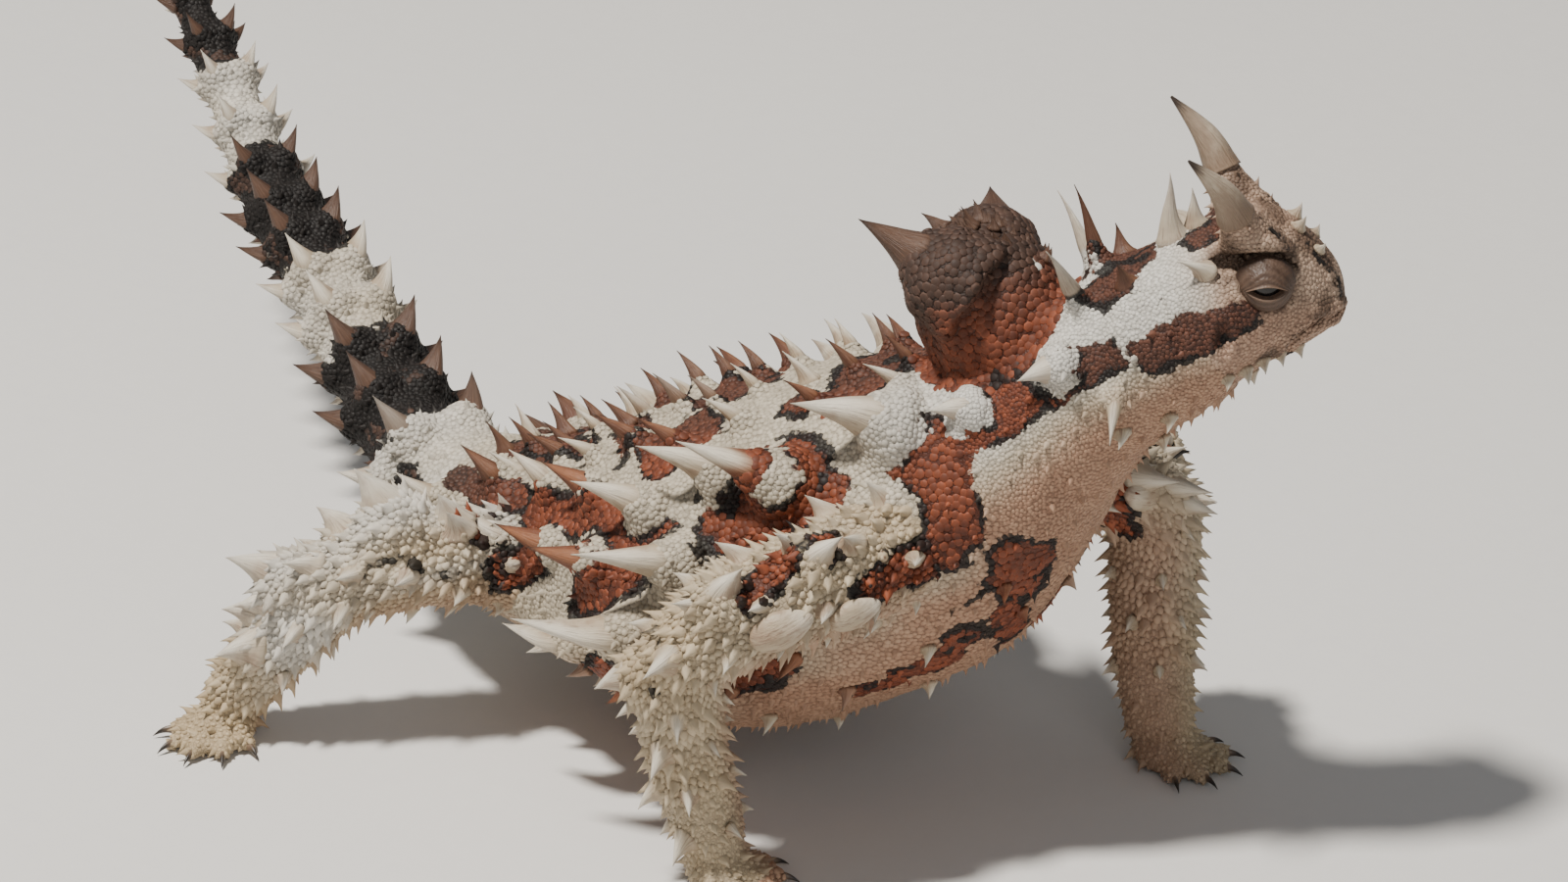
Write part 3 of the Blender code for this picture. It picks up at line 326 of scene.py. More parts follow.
# Dark streak up the front of each brow horn and brown smudges of the head: ahead, left and up
# from the head's place, radius, and the smudge's strength.
BROW_STREAK = [(1.7, 5.6, 4.0, 0.35), (0.9, 4.9, 6.0, 0.5), (0.1, 4.2, 8.0, 0.45)]
SMUDGES = [
    (4.4, 1.5, 4.3, 1.9, 1.0), (5.9, 1.2, 2.9, 1.6, 0.9), (4.6, 3.6, -1.4, 1.3, 0.8),
    (6.3, 2.0, -1.2, 1.2, 0.8), (-0.5, 5.4, 1.5, 3.3, 0.30), (-3.6, 5.6, 3.8, 2.0, 0.7),
    (1.9, 4.4, 5.2, 1.7, 0.75), (0.2, 5.8, -5.8, 1.2, 0.8), (2.4, 5.4, -3.6, 1.0, 0.5),
    (-2.0, 3.0, 7.6, 1.8, 0.6), (0.6, 1.0, 6.6, 1.6, 0.6),
]

def smooth_rows(rows, s):
    """The rows at places s of a smooth curve through all the rows."""
    s = np.atleast_1d(np.asarray(s, float))
    last = len(rows) - 1
    first = np.clip(np.floor(s), 0, last - 1).astype(int)
    t = (s - first)[:, None]
    a = rows[np.maximum(first - 1, 0)]
    b = rows[first]
    c = rows[first + 1]
    d = rows[np.minimum(first + 2, last)]
    bend = (2 * a - 5 * b + 4 * c - d) * t * t
    return 0.5 * (2 * b + (c - a) * t + bend + (3 * b - a - 3 * c + d) * t ** 3)


def unit(v):
    return v / np.maximum(np.linalg.norm(v, axis=-1, keepdims=True), 1e-9)


def dot(a, b):
    return (a * b).sum(axis=-1, keepdims=True)


def distance(points, place):
    return np.linalg.norm(points - place, axis=1)


def heading(angle, rise=0.0):
    """The direction with an angle from +X and a rise, both in radians."""
    return np.array((math.cos(rise) * math.cos(angle), math.cos(rise) * math.sin(angle), math.sin(rise)))


def turns(count):
    """Angles of the corners of a ring."""
    return np.arange(count) * 2 * math.pi / count


def ring_of(centre, a, b, around, wide, high):
    """An oval ring of points round a centre, wide along a and high along b."""
    return centre + np.outer(wide * np.cos(around), a) + np.outer(high * np.sin(around), b)


UP = np.array((0.0, 0.0, 1.0))
HEAD_AHEAD = heading(math.radians(HEAD_YAW))
HEAD_LEFT = np.array((-HEAD_AHEAD[1], HEAD_AHEAD[0], 0.0))
HEAD_UP = UP


def head_point(ahead, left, up):
    return np.array(HEAD_PLACE) + HEAD_AHEAD * ahead + HEAD_LEFT * left + HEAD_UP * up


class Line:
    """Oval sections along a curve; an angle is counted from the back, towards the right side."""

    def __init__(self, name, rows):
        self.name = name
        self.rows = np.array(rows, float)
        self.last = len(rows) - 1

    def frames(self, s):
        """Centre, three axes and the half width, back and belly of the sections at s."""
        row = smooth_rows(self.rows, s)
        if self.name == "body":
            pitch = np.radians(row[:, 6:7])
            yaw = np.radians(row[:, 7:8])
            ahead = np.hstack((np.cos(pitch) * np.cos(yaw), np.cos(pitch) * np.sin(yaw), np.sin(pitch)))
            left = np.hstack((-np.sin(yaw), np.cos(yaw), 0 * yaw))
            return row[:, :3], ahead, left, np.cross(ahead, left), row[:, 3:6]
        if self.name == "head":
            tilt = np.radians(row[:, 5:6])
            ahead = HEAD_AHEAD * np.cos(tilt) + HEAD_UP * np.sin(tilt)
            left = np.broadcast_to(HEAD_LEFT, ahead.shape)
            centre = np.array(HEAD_PLACE) + HEAD_AHEAD * row[:, 0:1] + HEAD_UP * row[:, 1:2]
            return centre, ahead, left, np.cross(ahead, left), row[:, 2:5]
        step = smooth_rows(self.rows, np.minimum(s + 0.05, self.last))
        step = step - smooth_rows(self.rows, np.maximum(s - 0.05, 0.0))
        ahead = unit(step[:, :3])
        side = unit(np.array((1.0, 0.0, 0.0)) - ahead * ahead[:, 0:1])
        return row[:, :3], ahead, side, np.cross(ahead, side), row[:, [3, 3, 3]]

    def points(self, s, angle, grow=0.0):
        s = np.atleast_1d(np.asarray(s, float))
        turn = np.radians(np.broadcast_to(np.asarray(angle, float), s.shape))[:, None]
        centre, _, left, up, size = self.frames(s)
        height = np.where(np.cos(turn) > 0, size[:, 1:2], size[:, 2:3])
        return centre - left * (size[:, 0:1] + grow) * np.sin(turn) + up * (height + grow) * np.cos(turn)

    def outward(self, s, angle):
        s = np.atleast_1d(np.asarray(s, float))
        angle = np.broadcast_to(np.asarray(angle, float), s.shape)
        along = self.points(s + 0.02, angle) - self.points(s - 0.02, angle)
        around = self.points(s, angle + 1.0) - self.points(s, angle - 1.0)
        normal = unit(np.cross(along, around))
        away = self.points(s, angle) - self.frames(s)[0]
        return np.where(dot(normal, away) < 0, -normal, normal)


LINES = {"body": Line("body", BODY_ROWS), "head": Line("head", HEAD_ROWS)}
for name, rows in LIMB_ROWS.items():
    LINES[name] = Line(name, rows)


def limb_side(name):
    return -1 if name.endswith("right") else 1


def horn_line(side):
    rows = [(*head_point(ahead, side * left, up), radius) for ahead, left, up, radius in HORN_ROWS]
    return Line("horn", rows)


def eye_centre(side):
    ahead, left, up = EYE_PLACE
    return head_point(ahead, side * left, up)


def head_spot(spot, side):
    """The point of a nostril or ear on one side of the head."""
    return LINES["head"].points(spot[0], side * spot[1])[0]


def row_shift():
    """How far the animal's frame lies from the row frame, from the eye's place in both."""
    low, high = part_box("eye_right")
    middle = np.array((low + high) * 0.5) / MM
    return middle - eye_centre(-1)


SHIFT = row_shift()


def placed(points):
    return (np.asarray(points, float) + SHIFT) * MM


def own(points):
    return np.asarray(points, float) / MM - SHIFT


def ripple(points, size, seed):
    """A smooth random value from -1 to 1 for each point, its waves about size long."""
    draw = np.random.default_rng(seed)
    waves = draw.normal(0.0, 2.2 / size, (3, 12))
    start = draw.uniform(0.0, 2 * math.pi, 12)
    return np.sin(points @ waves + start).mean(axis=1) * 2.2


def smoothstep(low, high, value):
    t = np.clip((value - low) / (high - low), 0.0, 1.0)
    return t * t * (3 - 2 * t)


def above_floor(points):
    """The points in metres, none of them lower than the floor."""
    points = points.copy()
    points[..., 2] = np.maximum(points[..., 2], FLOOR_GAP)
    return points


class Pile:
    """Many small shapes gathered into one mesh, each with the place of its root."""

    def __init__(self):
        self.points = []
        self.faces = []
        self.roots = []
        self.spread = []
        self.values = {}
        self.count = 0

    def add(self, rings, root=None, spread=None, closed=True, **values):
        """Adds a shape over rings, the offsets of its vertices on the bake map and its own values."""
        points = np.vstack(rings)
        n = len(points)
        root = points.mean(axis=0) if root is None else root
        faces = outward_faces(points, tube_faces(len(rings), len(rings[0]), closed))
        self.points.append(points)
        self.faces += [tuple(int(k) + self.count for k in face) for face in faces]
        self.roots.append(np.broadcast_to(np.asarray(root, float), (n, 3)))
        self.spread.append(np.zeros((n, 2)) if spread is None else np.asarray(spread, float))
        for name, value in values.items():
            self.values.setdefault(name, []).append(np.asarray(value, float))
        self.count += n

    def gathered(self):
        return {name: np.concatenate(parts) for name, parts in self.values.items()}

    def mesh(self, name):
        made = bpy.data.meshes.new(name)
        made.from_pydata(above_floor(placed(np.vstack(self.points))).tolist(), [], self.faces)
        made.update()
        give_values(made, self.gathered())
        return made


def tube_faces(rings, sides, closed=True):
    """Faces over rings of points, the first and last ring closed."""
    faces = []
    for r in range(rings - 1):
        for k in range(sides):
            a = r * sides + k
            b = r * sides + (k + 1) % sides
            faces.append((a, b, b + sides, a + sides))
    if closed:
        faces.append(tuple(range(sides))[::-1])
        faces.append(tuple(range((rings - 1) * sides, rings * sides)))
    return faces


def outward_faces(points, faces):
    """The faces turned so that the shape's volume is positive."""
    points = np.asarray(points)
    middle = points.mean(axis=0)
    total = 0.0
    for face in faces:
        a = points[face[0]] - middle
        for k in range(1, len(face) - 1):
            total += np.dot(a, np.cross(points[face[k]] - middle, points[face[k + 1]] - middle))
    return faces if total > 0 else [face[::-1] for face in faces]


def add_loft(pile, line, end, sides, inset):
    """The solid of a line's sections up to a place, its surface drawn in by the inset."""
    places = np.linspace(0.0, end, int(round(end / 0.1)) + 1)
    angles = np.arange(sides) * 360.0 / sides
    pile.add([line.points(np.full(sides, s), angles, -inset) for s in places])


def add_ball(pile, centre, half, axes, sides=24, rings=14):
    """A closed ellipsoid."""
    ahead, left, up = axes
    circles = []
    for r in range(rings + 1):
        turn = math.pi * (r + 0.02) / (rings + 0.04)
        middle = np.asarray(centre) + up * (half[2] * math.cos(turn))
        wide = half[0] * math.sin(turn)
        circles.append(ring_of(middle, ahead, left, turns(sides), wide, half[1] * math.sin(turn)))
    pile.add(circles)


def knob_axes():
    pitch = math.radians(KNOB_PITCH)
    return heading(0.0, pitch), np.array((0.0, 1.0, 0.0)), heading(0.0, pitch + math.pi / 2)


def knob_point(ahead, left, up):
    """The knob's surface point and outward direction, towards the given direction."""
    share = unit(np.array((ahead, left, up), float))
    place = KNOB_PLACE.copy()
    outward = np.zeros(3)
    for axis, half, part in zip(knob_axes(), KNOB_HALF, share):
        place = place + axis * (half * part)
        outward = outward + axis * (part / half)
    return place, unit(outward)


# Where things are on the animal.

SAMPLES = {}


def line_samples(name):
    if name not in SAMPLES:
        line = LINES[name]
        step = 0.1 if name == "body" else 0.08
        s = np.arange(0.0, line.last + step / 2, step)
        SAMPLES[name] = (s, *line.frames(s))
    return SAMPLES[name]


def find_places(points):
    """For each point the line it belongs to, its place along it and its angle."""
    count = len(points)
    best = np.full(count, np.inf)
    part = np.zeros(count, int)
    along = np.zeros(count)
    angle = np.zeros(count)
    for index, name in enumerate(LINES):
        s, centre, ahead, left, up, size = line_samples(name)
        gap = ((points[:, None, :] - centre[None, :, :]) ** 2).sum(axis=2) ** 0.5
        share = gap / size.mean(axis=1)[None, :]
        k = share.argmin(axis=1)
        value = share[np.arange(count), k]
        if name.startswith(("arm", "leg")):
            value = np.where(s[k] < 0.45, value + 1.0, value)
        offset = points - centre[k]
        stretch = np.linalg.norm(np.gradient(centre, axis=0), axis=1) / (s[1] - s[0])
        place = s[k] + (offset * ahead[k]).sum(axis=1) / np.maximum(stretch[k], 0.5)
        turn = np.degrees(np.arctan2(-(offset * left[k]).sum(axis=1) / size[k, 0],
                                     (offset * up[k]).sum(axis=1) / size[k, 1]))
        better = value < best
        best = np.where(better, value, best)
        part = np.where(better, index, part)
        along = np.where(better, np.clip(place, 0.0, LINES[name].last), along)
        angle = np.where(better, turn, angle)
    return part, along, angle


PARTS = list(LINES)


def mirrored(table):
    """Every chain with its line, and its mirror image on the animal's other side."""
    out = []
    for name, chains in table.items():
        other = name.replace("right", "left")
        turn = 0.0 if other == name else 180.0
        for chain in chains:
            out.append((name, chain))
            if name != "arm_left":
                out.append((other, [(s, turn - angle, radius) for s, angle, radius in chain]))
    return out


def path_distance(points, knots, radii):
    """Signed distance from each point to the surface of a chain of balls, where it is near."""
    best = np.full(len(points), FAR)
    last = len(knots) - 1
    for k in range(max(last, 1)):
        following = min(k + 1, last)
        step = knots[following] - knots[k]
        t = np.clip(((points - knots[k]) @ step) / max(step @ step, 1e-9), 0.0, 1.0)
        gap = distance(points, knots[k] + step * t[:, None])
        best = np.minimum(best, gap - (radii[k] + (radii[following] - radii[k]) * t))
    return best


def chain_distance(points, table):
    """Signed distance in millimetres from each point to the nearest chain's edge."""
    near = np.full(len(points), FAR)
    for name, chain in mirrored(table):
        rows = np.array(chain, float)
        knots = LINES[name].points(rows[:, 0], rows[:, 1])
        middle = knots.mean(axis=0)
        span = distance(knots, middle).max() + rows[:, 2].max() + FAR
        chosen = np.where(distance(points, middle) < span)[0]
        if len(chosen):
            near[chosen] = np.minimum(near[chosen], path_distance(points[chosen], knots, rows[:, 2]))
    return near


def smudge_of(points):
    """Brown smudges of the head, from 0 to 1."""
    total = np.zeros(len(points))
    for ahead, left, up, radius, strength in SMUDGES:
        for side in (-1, 1):
            gap = distance(points, head_point(ahead, side * left, up))
            total = np.maximum(total, strength * np.exp(-(gap / radius) ** 2))
    return total


def on_limb(part, word):
    """Which points are on either of the two arms or legs."""
    return (part == PARTS.index(word + "_right")) | (part == PARTS.index(word + "_left"))


def sheltered_of(part, angle):
    """How far a point of a limb is turned to the belly and the midline, from 0 to 1."""
    turn = np.abs(angle)
    left = (part == PARTS.index("arm_left")) | (part == PARTS.index("leg_left"))
    return smoothstep(70.0, 150.0, np.where(left, 180.0 - turn, turn))


def pale_roots():
    """Roots and radii of the pale thorns that stand in rufous patches."""
    rows = TRUNK_THORNS + NECK_THORNS
    rows = [row for side in (-1, 1) for row in turned_to(side, [rows[k] for k in PALE_THORNS])]
    roots = [(LINES["body"].points(row[0], row[1])[0], row[3]) for row in rows + NAPE_THORNS[1:2]]
    return roots + [(LINES["head"].points(row[0], row[1])[0], row[3]) for row in SKULL_THORNS]


def turned_to(side, rows):
    """Rows of thorns with their angles turned to one side."""
    return [(s, side * angle, *rest) for s, angle, *rest in rows]


def knob_marks(points, values, knobbed):
    """The nape knob's own pattern: dark above, rufous below, a narrow pale front, a black edge."""
    offset = points - KNOB_PLACE
    ahead, left, up = (offset @ axis / half for axis, half in zip(knob_axes(), KNOB_HALF))
    knob = knobbed | (np.sqrt(ahead ** 2 + left ** 2 + up ** 2) < 1.22)
    front = ahead * 0.9 + up * 0.45 - np.abs(left) * 0.35 + 0.10 * ripple(points, 2.5, SEED + 31)
    patch = -2.2 + smoothstep(0.97, 1.10, front) * 5.0
    low = smoothstep(-0.62, -0.36, up + 0.10 * ripple(points, 1.5, SEED + 32))
    own_values = {"patch": patch, "ink_and_mouth_shade": -0.8 + 3.0 * low, "tan_and_painted_bounce": 0.0 * up, "smudge": 0.0 * up,
                  "brown": 0.10 + 0.90 * smoothstep(-0.15, 0.40, up + 0.12 * ripple(points, 3.0, SEED + 33))}
    for name, value in own_values.items():
        values[name] = np.where(knob, value, values[name])
    values["knob"] = knob.astype(float)


def patterned(points, loose, part, s):
    """Rufous patches, near-black marks and how strongly the edge of a patch is drawn."""
    patch = chain_distance(loose, RUFOUS) - PATCH_GROWTH
    for root, radius in pale_roots():
        patch = np.maximum(patch, PALE_RING * radius - distance(loose, root))
    ink_and_mouth_shade = chain_distance(loose, INK)
    for side in (-1, 1):
        knots = np.array([head_point(ahead, side * left, up) for ahead, left, up, radius in BROW_STREAK])
        ink_and_mouth_shade = np.minimum(ink_and_mouth_shade, path_distance(loose, knots, [row[3] for row in BROW_STREAK]))
    tail_ink = patch + 0.55 + 1.1 * ripple(points, 2.2, SEED + 22)
    ink_and_mouth_shade = np.where((part == 0) & (s < 9.2), np.minimum(ink_and_mouth_shade, tail_ink), ink_and_mouth_shade)
    higher = chain_distance(loose + 0.8 * HEAD_UP, RUFOUS) - PATCH_GROWTH
    front = (part == 1) | ((part == 0) & (s > 18.3))
    rim = np.where(front, smoothstep(0.25, -0.25, higher - patch), 1.0)
    return {"patch": patch, "ink_and_mouth_shade": ink_and_mouth_shade, "rim_share": rim}


def toned(points, part, s, angle):
    """Shares of tan, gold, white and brown, from 0 to 1; the tan share is the head's own tan and painted tan
    bounce light and shade under the body and on the limbs' sheltered sides.
    """
    body = part == 0
    head = part == 1
    limb = part > 1
    arm = on_limb(part, "arm")
    turn = np.abs(angle)
    trunk = body & (s > TRUNK_START)
    shelter = sheltered_of(part, angle)
    cloud = ripple(points, 6.0, SEED + 21)
    cheek = smoothstep(74.0, 104.0, turn)
    upper = 1 - smoothstep(55.0, 85.0, turn)
    nape = 1 - smoothstep(-0.2, 1.4, s)
    face = np.clip(0.80 + 0.3 * smoothstep(74.0, 106.0, turn) + 0.2 * cloud, 0.0, 1.0)
    # Painted tan bounce light and shade: tan under the trunk, throat and tail and on the limb sides turned to
    # the belly; the head's tan is its own colour.
    under = smoothstep(84.0, 128.0, turn + 12 * ripple(points, 5.0, SEED + 20))
    tan_and_painted_bounce = np.where(trunk, under * smoothstep(9.0, 12.0, s), 0.0)
    tan_and_painted_bounce = np.where(body & (s > NECK_START), cheek, tan_and_painted_bounce)
    tan_and_painted_bounce = np.where(head, nape * cheek + (1 - nape) * face, tan_and_painted_bounce)
    tan_and_painted_bounce = np.where(body & ~trunk, smoothstep(110.0, 170.0, turn) * 0.5, tan_and_painted_bounce)
    tan_and_painted_bounce = np.where(limb, np.where(arm, 0.85, 0.6) * shelter, tan_and_painted_bounce)
    gold = np.clip(0.75 + 0.3 * cloud + 0.3 * smoothstep(2.6, 4.2, s), 0.0, 1.0)
    gold = np.where(limb, gold, np.where(trunk, 0.25 * smoothstep(60.0, 90.0, turn), 0.0))
    pale = np.where(body, smoothstep(16.2, 17.2, s) * upper, 0.0)
    pale = np.where(body & (s < 9.5), 0.55 + 0.5 * cloud, pale)
    pale = np.where(head, nape * upper + 0.08, pale)
    leg_pale = (1 - smoothstep(0.0, 0.4, shelter)) * np.clip(0.60 - 0.7 * cloud, 0.0, 0.9)
    pale = np.where(limb, np.where(arm, 0.10, leg_pale * (1 - smoothstep(3.0, 4.0, s))), pale)
    brown = np.where(body, 1 - smoothstep(9.0, 12.0, s), 0.0)
    ridge = 1 - smoothstep(16.0, 36.0, turn)
    brown = np.where(trunk, np.maximum(brown, 0.65 * ridge), brown)
    brown = np.where(head | (body & (s > 18.5)), 0.70, brown)
    return {"tan_and_painted_bounce": tan_and_painted_bounce, "gold": gold, "pale": pale, "brown": brown}


def marks(points):
    """The values that colour points of the skin, with the line, place and angle of each."""
    points, climb, knobbed = settled(points)
    part, s, angle = find_places(points)
    jitter = [ripple(points, 1.6, SEED + k) * 0.45 + ripple(points, 0.6, SEED + 9 + k) * 0.26
              for k in range(3)]
    loose = points + np.stack(jitter, axis=1)
    smudge = smudge_of(loose) + 0.12 * ((part == 1) & (s > 1.0))
    values = {**patterned(points, loose, part, s), **toned(points, part, s, angle), "smudge": smudge}
    knob_marks(points, values, knobbed)
    values["climb"] = climb
    return values, part, s, angle


def unwrap(part, s, angle):
    """A flat place for each point: along the line and round it, every line its own strip."""
    strips = {"body": (0.02, 0.98, 0.56, 0.98), "head": (0.02, 0.40, 0.30, 0.52),
              "arm_right": (0.44, 0.70, 0.30, 0.52), "arm_left": (0.72, 0.98, 0.30, 0.52),
              "leg_right": (0.02, 0.48, 0.04, 0.26), "leg_left": (0.52, 0.98, 0.04, 0.26)}
    u = np.zeros(len(s))
    v = np.zeros(len(s))
    for index, name in enumerate(PARTS):
        u0, u1, v0, v1 = strips[name]
        mine = part == index
        u = np.where(mine, u0 + (u1 - u0) * s / LINES[name].last, u)
        v = np.where(mine, v0 + (v1 - v0) * (angle + 180.0) / 360.0, v)
    return np.stack((u, v), axis=1)


def give_values(mesh, values):
    """Values of a mesh's points, one number or one vector each."""
    for name, value in values.items():
        value = np.asarray(value, np.float32)
        kind, field = ("FLOAT", "value") if value.ndim == 1 else ("FLOAT_VECTOR", "vector")
        layer = mesh.attributes.get(name) or mesh.attributes.new(name, kind, "POINT")
        layer.data.foreach_set(field, value.ravel())


def give_bake_map(mesh, flat):
    """The UV map OFBake from one flat place for each vertex."""
    layer = mesh.uv_layers.new(name="OFBake")
    corners = np.zeros(len(mesh.loops), np.int32)
    mesh.loops.foreach_get("vertex_index", corners)
    layer.data.foreach_set("uv", np.asarray(flat, np.float32)[corners].ravel())


def linked(name, mesh):
    made = bpy.data.objects.new(name, mesh)
    bpy.context.scene.collection.objects.link(made)
    return made


def made_piece(name, mesh, material):
    mesh.materials.clear()
    mesh.materials.append(material)
    mesh.shade_smooth()
    return linked(name, mesh)


# Thorns.

# The radius from which a thorn is broad-based, and the height of the keels on its two edges.
THICK_THORN = 1.8
KEEL = 0.16
# Sides and rings of a thorn from each radius up.
THORN_DETAIL = [(2.2, 28, 24), (1.1, 18, 14), (0.0, 10, 9)]
# How far round a thorn and how high up it the skin counts as its foot.
FOOT_REACH = 1.30
FOOT_TOP = 0.64


def across_of(outward, back):
    """The part of back at a right angle to outward, and the direction across both."""
    back = unit(back - outward * np.dot(back, outward))
    return back, np.cross(outward, back)


class Thorn:
    """A spine: where it stands, how it leans and curves, its size, and the share its skirt covers."""

    def __init__(self, root, outward, back, height, radius, lean, curl=14.0, skirt=0.0, flare=0.28,
                 horn=1.0, shield=False):
        self.root = np.asarray(root, float)
        self.outward = outward
        self.back, self.across = across_of(outward, back)
        self.height = height
        self.radius = radius
        self.lean = lean
        self.curl = curl
        self.skirt = skirt
        self.flare = flare
        self.horn = horn
        self.shield = shield

    def path(self, shares):
        """Centres and directions of the shaft at shares of its height."""
        tilt = np.radians(self.lean * np.minimum(1.0, 0.35 + 1.2 * shares) + self.curl * shares ** 2)
        shafts = np.outer(np.cos(tilt), self.outward) + np.outer(np.sin(tilt), self.back)
        steps = np.diff(shares, prepend=0.0) * self.height
        return self.root + np.cumsum(shafts * steps[:, None], axis=0), shafts

    def face(self, shaft):
        """The side of the shaft that looks back, at a right angle to it."""
        return unit(self.back - shaft * np.dot(self.back, shaft))

    def width(self, share):
        full = 0.86 if self.radius > THICK_THORN else 0.70
        cone = full * (1 - share) ** 1.05 * (1 - 0.12 * share)
        return self.radius * (cone + self.flare * np.exp(-share * 7.0))

    def foot(self, share):
        """How much wider the skin is than the horn at a share of the height."""
        return 0.12 * self.radius * np.exp(-5.0 * share)

    def add_to(self, pile, seed):
        """The horn of the spine, drawn in where the scaly skirt covers it."""
        sides, rings = next(row[1:] for row in THORN_DETAIL if self.radius > row[0])
        draw = np.random.default_rng(SEED + seed)
        wave = draw.uniform(0, 2 * math.pi, 3)
        around = turns(sides)
        shares = np.concatenate(([0.0], np.linspace(0.0, 1.0, rings) ** 1.12))
        centres, shafts = self.path(shares)
        centres[0] = self.root - self.outward * (0.35 * self.radius)
        upper = np.maximum(0.0, -np.cos(around))
        ridge = 1.0 + KEEL * np.maximum(0.0, np.cos(around)) ** 5 + KEEL * upper ** 6
        widths = self.width(shares)
        if self.skirt:
            widths *= 0.76 + 0.24 * smoothstep(0.55 * self.skirt, self.skirt + 0.08, shares)
        circles = []
        for t, centre, shaft, width in zip(shares, centres, shafts, widths):
            rough = 1.0 + 0.030 * np.sin(3 * around + wave[0] + 5 * t)
            rough = rough + 0.018 * np.sin(7 * around + wave[1] - 7 * t)
            shape = max(width, 0.03) * ridge * rough
            circles.append(ring_of(centre, self.face(shaft), self.across, around, shape, 0.88 * shape))
        along = np.repeat(shares, sides)
        count = len(shares)
        circle = np.tile(np.stack((np.cos(around), np.sin(around)), axis=1), (count, 1))
        strand = np.hstack((circle * (2.2 + 2.6 * self.radius), (along * self.height * 0.45)[:, None]))
        # edge marks each thorn's upper side, which the thorn material paints paler as painted light.
        pile.add(circles, self.root, circle * (MAP_SPOT * (1.0 - 0.85 * along))[:, None],
                 along=(along - self.skirt) / (1.0 - self.skirt), edge=np.tile(upper ** 3, count),
                 strand=strand + draw.uniform(0.0, 60.0, 3),
                 broad=np.full(len(along), self.radius * self.horn))

    def add_shield(self, pile, sides=24, rings=12):
        """A broad, low scale that ends in a point, in place of a spine."""
        around = turns(sides)
        length = self.radius * np.cos(around) * (1.15 + 0.35 * np.maximum(0.0, np.cos(around)) ** 4)
        breadth = 0.82 * self.radius * np.sin(around)
        circles = []
        for turn in np.linspace(0.10, 2.2, rings):
            keel = 0.52 + 0.06 * np.exp(-(breadth * math.sin(turn)) ** 2 * 6.0)
            level = np.outer(self.radius * keel * math.cos(turn), self.outward)
            flat = np.outer(length, self.back) + np.outer(breadth, self.across)
            circles.append(self.root + level + flat * math.sin(turn))
        away = (np.vstack(circles) - self.root) / self.radius
        along = 0.20 + 0.55 * np.maximum(0.0, away @ self.back / 1.5)
        strand = (away @ self.across * 9.0, away @ self.back * 2.0, away @ self.outward)
        none = np.zeros(len(away))
        pile.add(circles, self.root, along=along, edge=none, strand=np.stack(strand, axis=1), broad=none)

    def add_skirt(self, pile):
        """The solid foot of the spine, which becomes a part of the skin."""
        shares = np.linspace(0.0, self.skirt + 0.10, 8)
        rings = []
        for t, centre, shaft in zip(shares, *self.path(shares)):
            width = self.width(t) + self.foot(t) - 0.10
            rings.append(ring_of(centre, self.face(shaft), self.across, turns(16), width, width))
        rings[0] = rings[0] - self.outward * self.radius
        pile.add(rings)


def line_direction(line, s, angle, turn):
    """Root, outward and backward direction of a thorn, turned towards the back by an angle."""
    root = line.points(s, angle)[0]
    outward = line.outward(s, angle)[0]
    frames = line.frames(s)
    back = across_of(outward, -frames[1][0])[0]
    rise = np.cross(back, outward)
    if np.dot(rise, frames[3][0]) < 0:
        rise = -rise
    swing = math.radians(turn)
    return root, outward, back * math.cos(swing) + rise * math.sin(swing)


def tail_rings():
    """Places of the tail's rings of thorns, closer together towards the tip."""
    body = LINES["body"]
    wide, tight = TAIL_RING_STEPS
    rings = []
    s = TAIL_THORNS_START - 0.25
    while s > 0.35:
        rings.append(s)
        step = tight + (wide - tight) * (s / TAIL_THORNS_START)
        here = body.frames(s)[0][0]
        near = body.frames(max(s - 0.2, 0.0))[0][0]
        s -= step / (np.linalg.norm(here - near) / 0.2)
    return rings


def trunk_thorn_rows():
    """Every thorn of tail, trunk and neck: place, angle, height, radius, lean, turn."""
    draw = random.Random(THORN_SEED)
    rows = []
    for side in (-1, 1):
        rows += turned_to(side, TRUNK_THORNS)
        for angle, first, last, step, height, radius, lean in TRUNK_ROWS:
            for k in range(int((last - first) / step) + 1):
                s = first + step * k + draw.uniform(-0.06, 0.06)
                size = draw.uniform(0.85, 1.12) * (0.75 + 0.25 * math.sin(math.pi * (s - 9.5) / 8.5))
                place = angle + draw.uniform(-2.5, 2.5)
                rows.append((s, side * place, height * size, radius * size, lean, 0.0))
        rows += turned_to(side, NECK_THORNS)
        for s in tail_rings():
            for angle, root_height, tip_height in TAIL_THORNS:
                height = tip_height + (root_height - tip_height) * s / TAIL_THORNS_START
                rows.append((s, side * angle, height, THORN_GIRTH * height, 26, 0.0))
    return rows + NAPE_THORNS


def ring_thorns(line, s, ring, exposed, draw):
    """One ring of small thorns round a limb, longest where they face outwards."""
    tall, low = LIMB_THORN_HEIGHTS
    ahead = line.frames(s)[1][0]
    rows = []
    for k in range(LIMB_THORNS_ROUND):
        angle = 360.0 * (k + 0.5 * (ring % 2)) / LIMB_THORNS_ROUND + draw.uniform(-9, 9)
        outward = line.outward(s, angle)[0]
        facing = float(outward @ exposed)
        height = (low + (tall - low) * max(0.0, facing)) * draw.uniform(0.8, 1.15)
        if facing > -0.75:
            rows.append((line.points(s, angle)[0], outward, ahead, height, height * THORN_GIRTH, 24))
    return rows


def tall_thorns(line, word, side):
    """The tall thorns and shields of one length of a limb."""
    only_here = TALL_LIMB_THORNS.get(word + "_left", []) if side > 0 else []
    rows = []
    for place, direction, height, radius, lean in TALL_LIMB_THORNS.get(word, []) + only_here:
        frames = line.frames(place)
        centre = frames[0][0]
        ahead = frames[1][0]
        facing = np.array((direction[0], side * direction[1], direction[2]))
        facing = unit(facing - ahead * (facing @ ahead))
        back = -ahead if lean > 40 else ahead
        rows.append((centre + facing * frames[4][0][0], facing, back, height, radius, lean))
    return rows


